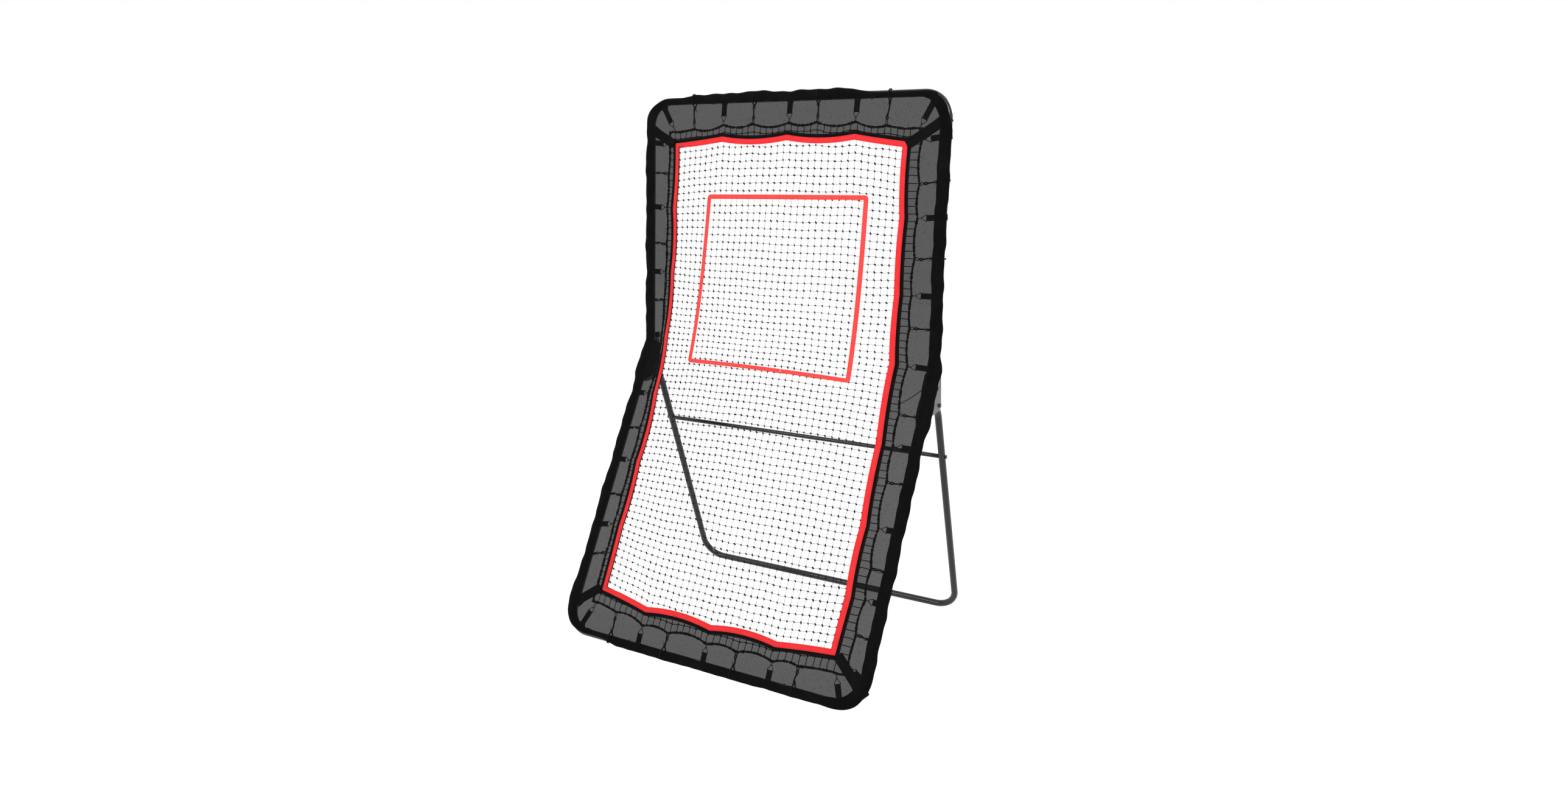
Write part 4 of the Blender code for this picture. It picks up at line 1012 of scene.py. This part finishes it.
# Strike zone tape on the net

zone = {
    "corners": ((-0.343, -0.081), (0.329, -0.0915), (0.330, 0.583), (-0.316, 0.577)),
    "width": 0.0165,
    "height": 0.0072,
    "corner": 0.016,
    "joint": (0.069, -0.0876),  # where its two ends meet
    "gap": 0.0011,  # half the gap there
}


# A flat tape round four rounded corners, open at its joint
def makeZone():
    corners = np.array(zone["corners"])
    curves = roundedCorners(corners, zone["corner"], 7)
    line = np.concatenate([
        np.concatenate([curve, straightRun(curve[-1], far, 60)[1:-1]])
        for curve, far in zip(curves, np.roll(curves[:, 0], -1, axis=0))])
    joint = np.array(zone["joint"])
    first = np.argmin(np.linalg.norm(line - joint, axis=1))
    line = np.roll(line, -first - 1, axis=0)
    along = zone["gap"] * unit(line[0] - line[-1])
    line = np.concatenate([[joint + along], line[1:-2], [joint - along]])
    way = wayAlong(line, False)
    inward = np.stack([-way[:, 1], way[:, 0]], -1)
    share = np.array([0.0, 0.0, 0.1, 0.5, 0.9, 1.0, 1.0, 0.5])
    lift = np.array([0.0, 0.0006, 0.0010, 0.0012, 0.0010, 0.0006, 0.0, 0.0])
    spots = line[:, None] + inward[:, None] * (share * zone["width"])[None, :, None]
    points = netPoint(spots[..., 0], spots[..., 1], zone["height"] + lift)
    makePiece("strikeZoneTape", [skin(points, around=True, caps=True)], redTape, bothFrames,
              ("strike_zone_lower", "strike_zone_upper"))


makeZone()
print("strike zone made")


# Straps with triangle rings, shock cords and corner straps that lace the net to the tubes

strap = {
    "wide": 0.020,
    "thick": 0.0013,
    "loopRadius": 0.0146,  # round the tube, under the band
    "bracketReach": 0.036,  # beside a bracket, this near the bend, a strap is sewn to the band
    "sewnInside": 0.0195,  # so far inside the tube's centre line
    "sewnLoop": 0.0030,
    "layers": 0.0009,  # half the gap between its two layers at the ring
    "sewnBy": 0.28,  # the share of the run by which the layers lie together
    "ringLong": 0.018,
    "ringShare": 0.27,  # of the way to the rope, where that is short
    "ringWide": 0.024,
    "wire": 0.0012,
    "hookLong": 0.016,
    "hookShare": 0.17,
    "hookWide": 0.0042,
}

shockCord = {
    "radius": 0.0027,
    "outward": 0.0228,  # round the tube and the band
    "onTube": 0.0160,  # where the band is drawn in
    "bareFrom": 0.3,  # so far right on the head tube, and so far left on the foot tube
    "front": 0.0192,
    "frontUnder": 0.0136,
    "back": 0.0155,
    "knotAt": 0.0255,  # from the tube's centre line
    "knot": 0.0050,
    "eyeLong": 0.0150,  # the moulded eye near the rope
    "eyeWide": 0.0100,
    "eyeWire": 0.0026,
    "eyeShare": 0.66,
    "loopWide": 0.0042,
    "loopRadius": 0.0015,
    "endRadius": 0.0020,
    "tailRadius": 0.0016,
}

# Corner straps: where each leaves the tube and the spot it is sewn or hooked to, across and up
cornerStrap = {
    "wide": 0.034,
    "over": 0.004,  # how far it reaches past the border's corner
    "lift": 0.0035,  # how high it lies on the red tape
    "wideRuns": {"upper_left": ((-0.590, 0.815), (-0.486, 0.763)),
                 "upper_right": ((0.583, 0.833), (0.458, 0.752)),
                 "lower_left": ((-0.590, -1.045), (-0.496, -0.977)),
                 "lower_right": ((0.584, -1.092), (0.484, -0.999))},
    "narrowRuns": (((-0.540, 0.903), (-0.486, 0.812)), ((0.542, 0.899), (0.492, 0.803)),
                   ((-0.540, -1.129), (-0.500, -1.034)), ((0.518, -1.139), (0.486, -1.052)),
                   ((0.590, -1.058), (0.518, -1.020))),
}

# A thin tie at the right bracket, from the rope up to the band
tie = {"rope": (-0.004, -0.138), "band": (0.576, -0.066, 0.0125), "sag": 0.004, "radius": 0.0014}

laceFinish = {"laceStraps": blackWebbing, "triangleRings": blackWire, "shockCords": braid,
              "cordEyes": nylon}


# The frame of one member: its tube point, the way to the rope, the way along the tube and the lift
def memberTo(tube, rope, upper):
    aim = unit(rope - tube)
    front = unit(np.cross(xAxis, upUpper if upper else upLower))
    lift = unit(front - aim * (front @ aim))
    return {"tube": tube, "aim": aim, "along": unit(np.cross(aim, lift)), "lift": lift,
            "reach": float(np.linalg.norm(rope - tube)), "body": bothFrames[int(upper)],
            "loop": strap["loopRadius"]}


def memberAt(side, place):
    on = ropeRing["side"] == side
    nearest = np.argmin(np.abs(ropeRing["place"][on] - place))
    ropeX, ropeT = ropeRing["x"][on][nearest], ropeRing["t"][on][nearest]
    upright = side in (1, 3)
    sewn = upright and abs(place) < strap["bracketReach"]
    if upright:
        out = panels["halfWidth"] - sewn * strap["sewnInside"]
        tube = framePoint((2 - side) * out, place, 0.0)
        ropeT = place
    else:
        tube = framePoint(place, panels["upperRun"] if side == 2 else -panels["lowerRun"], 0.0)
        ropeX = place
    upper = side == 2 or (upright and place > 0.0)
    member = memberTo(tube, strungPoint(ropeX, ropeT, ropeShape["height"]), upper)
    return dict(member, loop=strap["sewnLoop"] if sewn else strap["loopRadius"])


# Local points (towards the rope, along the tube, lifted) of one member put in their place
def placed(member, points):
    points = np.asarray(points)
    return (member["tube"] + points[..., 0:1] * member["aim"] + points[..., 1:2] * member["along"]
            + points[..., 2:3] * member["lift"])


# Webbing round the tube that closes at the ring: an arc r (cos, sin) over the outer side, then two
# straight layers that come together by a smooth step close behind the tube
def strapLoop(member, wide, bar):
    radius, close, sewnBy = member["loop"], strap["layers"], strap["sewnBy"]
    turn = np.linspace(math.radians(75.0), math.radians(285.0), 21)
    arc = np.stack([radius * np.cos(turn), 0.0 * turn, radius * np.sin(turn)], -1)
    share = np.linspace(0.0, 1.0, 9)[1:-1, None]
    top, low = np.array([bar, 0.0, close]), np.array([bar, 0.0, -close])
    over = arc[-1] + (low - arc[-1]) * np.concatenate(
        [share, share, smoothStep(share / sewnBy)], -1)
    under = top + (arc[0] - top) * np.concatenate(
        [share, share, smoothStep((share - (1.0 - sewnBy)) / sewnBy)], -1)
    path = np.concatenate([arc, over, [low + [0.0008, 0.0, 0.0003], top + [0.0008, 0.0, -0.0003]],
                           under])
    section = np.array([(-0.5, -0.4), (0.0, -0.5), (0.5, -0.4),
                        (0.5, 0.4), (0.0, 0.5), (-0.5, 0.4)]) * (wide, strap["thick"])
    side = np.broadcast_to([0.0, 1.0, 0.0], path.shape)
    front = unit(np.cross(wayAlong(path, True), side))
    points = sectionPoints(path, section[None], side, front)
    return skin(placed(member, points), around=True, along=True)


# A closed round wire through rounded corner points
def wireLoop(member, corners, radius, rounding, sides=7):
    corners = np.asarray(corners, float)
    path = roundedCorners(corners, rounding, 4).reshape(-1, 3)
    normal = unit(np.cross(corners[1] - corners[0], corners[2] - corners[1]))
    part = sweep(path, roundSection(radius, sides), normal, closed=True)
    return dict(part, points=placed(member, part["points"]))


# A lump: a sphere whose radius swells and dips with two waves, as a knot in a cord does
def lump(member, centre, radius, seed, long=1.0):
    v, u = np.meshgrid(np.linspace(0.06, np.pi - 0.06, 8), np.arange(10) * 2.0 * np.pi / 10,
                       indexing="ij")
    swell = radius * (1.0 + 0.13 * np.sin(3.0 * u + seed) * np.sin(2.0 * v)
                      + 0.08 * np.cos(2.0 * v + seed))
    points = np.stack([long * swell * np.cos(v), swell * np.sin(v) * np.cos(u),
                       swell * np.sin(v) * np.sin(u)], -1)
    return skin(placed(member, points + np.asarray(centre)), around=True, caps=True)


# A round cord through points, eased by a cubic curve between each two, tapering when asked
def cordThrough(member, points, radius, taper=1.0, sides=7, count=24):
    points = np.asarray(points, float)
    run = runAlong(points)
    slope = np.gradient(points, run, axis=0)
    s = np.linspace(0.0, run[-1], count)
    k = np.clip(np.searchsorted(run, s) - 1, 0, len(run) - 2)
    gap = (run[k + 1] - run[k])[:, None]
    p = (s[:, None] - run[k][:, None]) / gap
    path = ((2 * p ** 3 - 3 * p ** 2 + 1) * points[k] + (p ** 3 - 2 * p ** 2 + p) * gap * slope[k]
            + (3 * p ** 2 - 2 * p ** 3) * points[k + 1] + (p ** 3 - p ** 2) * gap * slope[k + 1])
    part = sweep(path, roundSection(radius * np.linspace(1.0, taper, count), sides),
                 np.array([0.13, 0.94, 0.31]))
    return dict(part, points=placed(member, part["points"]))


# A strap round the tube, its triangle ring and the hook over the rope
def addStrap(parts, member, noise):
    reach = member["reach"]
    ring = min(strap["ringLong"], strap["ringShare"] * reach)
    hook = min(strap["hookLong"], strap["hookShare"] * reach)
    bar = reach - ring - hook + 0.001
    tip, far = bar + ring, reach + 0.004
    parts["laceStraps"].append(strapLoop(member, strap["wide"], bar))
    lean = noise.uniform(-0.0025, 0.0025)
    half, thin = 0.5 * strap["ringWide"], strap["hookWide"]
    parts["triangleRings"] += [
        wireLoop(member, [(bar, -half, 0.0), (bar, half, 0.0), (tip, lean + 0.0015, 0.0),
                          (tip, lean - 0.0015, 0.0)], strap["wire"], 0.0014),
        wireLoop(member, [(tip - 0.002, lean, thin), (far, lean, thin), (far, lean, -thin),
                          (tip - 0.002, lean, -thin)], 0.8 * strap["wire"], 0.0036)]


# A shock cord round the tube to a knot, a moulded eye on it, and a thin loop over the rope, with
# frayed ends. On the sides it goes under the band, and near two corners, where the band is drawn
# in, it lies on the tube
def addShockCord(parts, member, side, place, noise):
    reach, radius = member["reach"], shockCord["radius"]
    hidden = side in (1, 3)
    bareFrom = shockCord["bareFrom"]
    bare = (side == 2 and place > bareFrom) or (side == 0 and place < -bareFrom)
    out = shockCord["onTube"] if bare or hidden else shockCord["outward"]
    front = shockCord["frontUnder"] if hidden else shockCord["front"]
    turn = np.radians(np.array([70.0, 100.0, 130.0, 160.0, 190.0, 220.0, 250.0, 285.0]))
    height = np.where(np.sin(turn) > 0.0, front, shockCord["back"])
    arc = np.stack([out * np.cos(turn), 0.0016 * np.sin(turn * 0.5), height * np.sin(turn)], -1)
    knot, wide = shockCord["knotAt"], shockCord["loopWide"]
    a, b, c = noise.uniform(-0.003, 0.003, 3)  # how far cord, eye and loop lie off the line
    ball = knot + (reach - knot) * shockCord["eyeShare"]
    long, broad = 0.5 * shockCord["eyeLong"], 0.5 * shockCord["eyeWide"]
    near, far, half = ball - long, ball + long, 0.5 * (ball + reach)
    wrap = np.concatenate([[(knot, 0.0, 0.001)], arc, [(knot, 0.001, -0.001)]])
    loop = [(far, b - 0.3 * wide, 0.0), (half, b - wide, 0.001),
            (reach + 0.003, c - 0.7 * wide, 0.0035), (reach + 0.003, c + 0.7 * wide, -0.0035),
            (half, b + wide, -0.001), (far, b + 0.3 * wide, 0.0)]
    end = [(reach - 0.004, c, 0.0), (reach - 0.001, c + 0.006, 0.002),
           (reach - 0.003, c + 0.012, 0.001)]
    parts["shockCords"] += [
        cordThrough(member, wrap, radius, count=34),
        lump(member, (knot, 0.0, 0.0), shockCord["knot"], a * 900.0, 1.15),
        cordThrough(member, [(knot, 0.0, 0.0), (0.5 * (knot + near), a, 0.0004), (near, b, 0.0)],
                    radius, count=10),
        lump(member, (near, b, 0.0), 0.8 * shockCord["knot"], b * 900.0),
        wireLoop(member, loop, shockCord["loopRadius"], 0.0012, 6),
        cordThrough(member, end, shockCord["endRadius"], 0.4, 6, 7)]
    for way in (-1.0, 1.0):  # tails beside the knot
        tail = [(knot, 0.0, 0.0), (knot + 0.006, way * 0.0045, 0.001),
                (knot + 0.013 + 2.0 * a, way * 0.007 + c, 0.0)]
        parts["shockCords"].append(cordThrough(member, tail, shockCord["tailRadius"], 0.35, 6, 7))
    parts["cordEyes"].append(wireLoop(
        member, [(near, b, 0.0), (ball, b + broad, 0.0), (far, b, 0.0), (ball, b - broad, 0.0)],
        shockCord["eyeWire"], 0.0050))


def makeMembers():
    noise = np.random.default_rng(21)
    made = {body: {kind: [] for kind in laceFinish} for body in bothFrames}
    height = ropeShape["height"]
    corners = [memberTo(framePoint(*start, 0.0), netPoint(*end, height), start[1] > 0.0)
               for start, end in cornerStrap["narrowRuns"]]
    for side in range(4):
        straps = [memberAt(side, place) for place in lacing["straps"][side]]
        for member in straps + (corners if side == 0 else []):
            addStrap(made[member["body"]], member, noise)
        for place in lacing["cords"][side]:
            member = memberAt(side, place)
            addShockCord(made[member["body"]], member, side, place, noise)
    low = strungPoint(net["centreX"] + net["ropeHalf"] + tie["rope"][0], tie["rope"][1], height)
    high = framePoint(*tie["band"])
    origin = dict(zip(("tube", "aim", "along", "lift"), (np.zeros(3), *np.eye(3))))
    made["lower_frame"]["shockCords"].append(cordThrough(
        origin, [low, 0.5 * (low + high) - [0.0, 0.0, tie["sag"]], high], tie["radius"]))
    for body, word in zip(bothFrames, ("Lower", "Upper")):
        for kind, material in laceFinish.items():
            makePiece(kind + word, made[body][kind], material, (body,))


# A wide strap at each corner, from round the tube to the corner of the border
def makeCornerStraps():
    for word, (start, end) in cornerStrap["wideRuns"].items():
        height = border["redHeight"] + cornerStrap["lift"]
        member = memberTo(framePoint(*start, 0.0), netPoint(*end, height), start[1] > 0.0)
        wide = strapLoop(member, cornerStrap["wide"], member["reach"] + cornerStrap["over"])
        makePiece("cornerStrap" + word.title().replace("_", ""), [wide], blackWebbing,
                  (member["body"],), ("corner_strap_" + word,))


# Two nut rims that press through the band over the left bracket: a round wire along a circle
coverRings = {"places": ((-0.5501, -0.0442), (-0.5410, -0.0716)), "radius": 0.0052, "wire": 0.0013,
              "height": 0.0160}


def makeCoverRings():
    turn = np.arange(24) * 2.0 * np.pi / 24
    rimX, rimT = coverRings["radius"] * np.cos(turn), coverRings["radius"] * np.sin(turn)
    rims = [sweep(framePoint(x + rimX, t + rimT, coverRings["height"]),
                  roundSection(coverRings["wire"], 7), netFront, closed=True)
            for x, t in coverRings["places"]]
    makePiece("coverRings", rims, nylon, ("lower_frame",))


makeMembers()
makeCornerStraps()
makeCoverRings()
print("straps, rings and cords made")


# Camera, light and ground

camera = {
    "place": Vector((1.6448, -3.0454, 1.5277)),
    "yaw": 0.4858,  # radians towards -X
    "down": 0.1877,
    "roll": -0.0292,
    "lens": 21.9,  # mm on a 36 mm wide sensor
}

studio = {
    "world": 0.60,
    # each lamp: place, aim, size and watts
    "lamps": {"keyLight": ((2.6, -3.2, 3.6), (0.0, 0.0, 1.0), (0.8, 0.8), 115.0),
              "fillLight": ((-1.9, -3.9, 3.0), (0.0, 0.0, 1.0), (2.0, 0.3), 64.0),  # a long strip
              "rimLight": ((1.2, 3.4, 3.0), (0.0, 0.2, 1.0), (1.2, 0.7), 60.0)},
    "ground": 14.0,
    "glow": 0.93,
}


def makeCamera():
    yaw, down, roll = camera["yaw"], camera["down"], camera["roll"]
    ahead = Vector((-math.sin(yaw) * math.cos(down), math.cos(yaw) * math.cos(down),
                    -math.sin(down)))
    level = Vector((math.cos(yaw), math.sin(yaw), 0.0))
    below = ahead.cross(level)
    right = math.cos(roll) * level + math.sin(roll) * below
    under = -math.sin(roll) * level + math.cos(roll) * below
    lens = bpy.data.cameras.new("studioCamera")
    lens.sensor_fit = "HORIZONTAL"
    lens.sensor_width = 36.0
    lens.lens = camera["lens"]
    lens.clip_start = 0.05
    lens.clip_end = 60.0
    thing = addThing("studioCamera", lens)
    turn = Matrix((right, -under, -ahead)).transposed().to_4x4()
    thing.matrix_world = Matrix.Translation(camera["place"]) @ turn
    bpy.context.scene.camera = thing


def makeLight(name, place, aim, size, watts):
    lamp = bpy.data.lights.new(name, "AREA")
    lamp.shape = "RECTANGLE"
    lamp.size, lamp.size_y = size
    lamp.energy = watts
    thing = addThing(name, lamp)
    thing.location = place
    thing.rotation_mode = "QUATERNION"
    thing.rotation_quaternion = (Vector(place) - Vector(aim)).to_track_quat("Z", "Y")


# 1 for the rays that see plain white: the camera's, and those through glass and off a shine
def whiteRays(tree):
    rays = addNode(tree, "ShaderNodeLightPath")
    seen = rays.outputs["Is Camera Ray"]
    for word in ("Is Transmission Ray", "Is Glossy Ray"):
        seen = addNode(tree, "ShaderNodeMath", {0: seen, 1: rays.outputs[word]},
                       operation="MAXIMUM")
    return seen


# The ground is white paper, seen at full white where nothing shades it
def makeStudio():
    world = bpy.data.worlds.new("studioWorld")
    world.use_nodes = True
    bpy.context.scene.world = world
    tree = world.node_tree
    tree.nodes.clear()
    white = (1.0, 1.0, 1.0, 1.0)
    strength = addNode(tree, "ShaderNodeMapRange", {"Value": whiteRays(tree),
                                                    "To Min": studio["world"]})
    sky = addNode(tree, "ShaderNodeBackground", {"Color": white, "Strength": strength})
    addNode(tree, "ShaderNodeOutputWorld", {"Surface": sky})
    for name, settings in studio["lamps"].items():
        makeLight(name, *settings)
    mesh = bpy.data.meshes.new("studioGround")
    far = studio["ground"]
    mesh.from_pydata([(x, y, -0.0008) for x, y in ((-far, -far), (far, -far), (far, far),
                                                   (-far, far))], [], [(0, 1, 2, 3)])
    ground = addThing("studioGround", mesh)
    material, tree, shader = startMaterial("matPaper", {
        "Base Color": linearColour("#efefef"), "Roughness": 0.95})
    paper = addNode(tree, "ShaderNodeBsdfDiffuse", {"Color": (0.20, 0.20, 0.20, 1.0)})
    glow = addNode(tree, "ShaderNodeEmission", {"Color": white, "Strength": studio["glow"]})
    both = addNode(tree, "ShaderNodeAddShader", {0: paper, 1: glow})
    mix = addNode(tree, "ShaderNodeMixShader", {0: whiteRays(tree), 1: shader, 2: both})
    tree.links.new(mix.outputs[0], tree.nodes["Material Output"].inputs["Surface"])
    mesh.materials.append(material)
    bpy.context.scene.view_settings.view_transform = "Standard"


makeCamera()
makeStudio()
print("studio made")
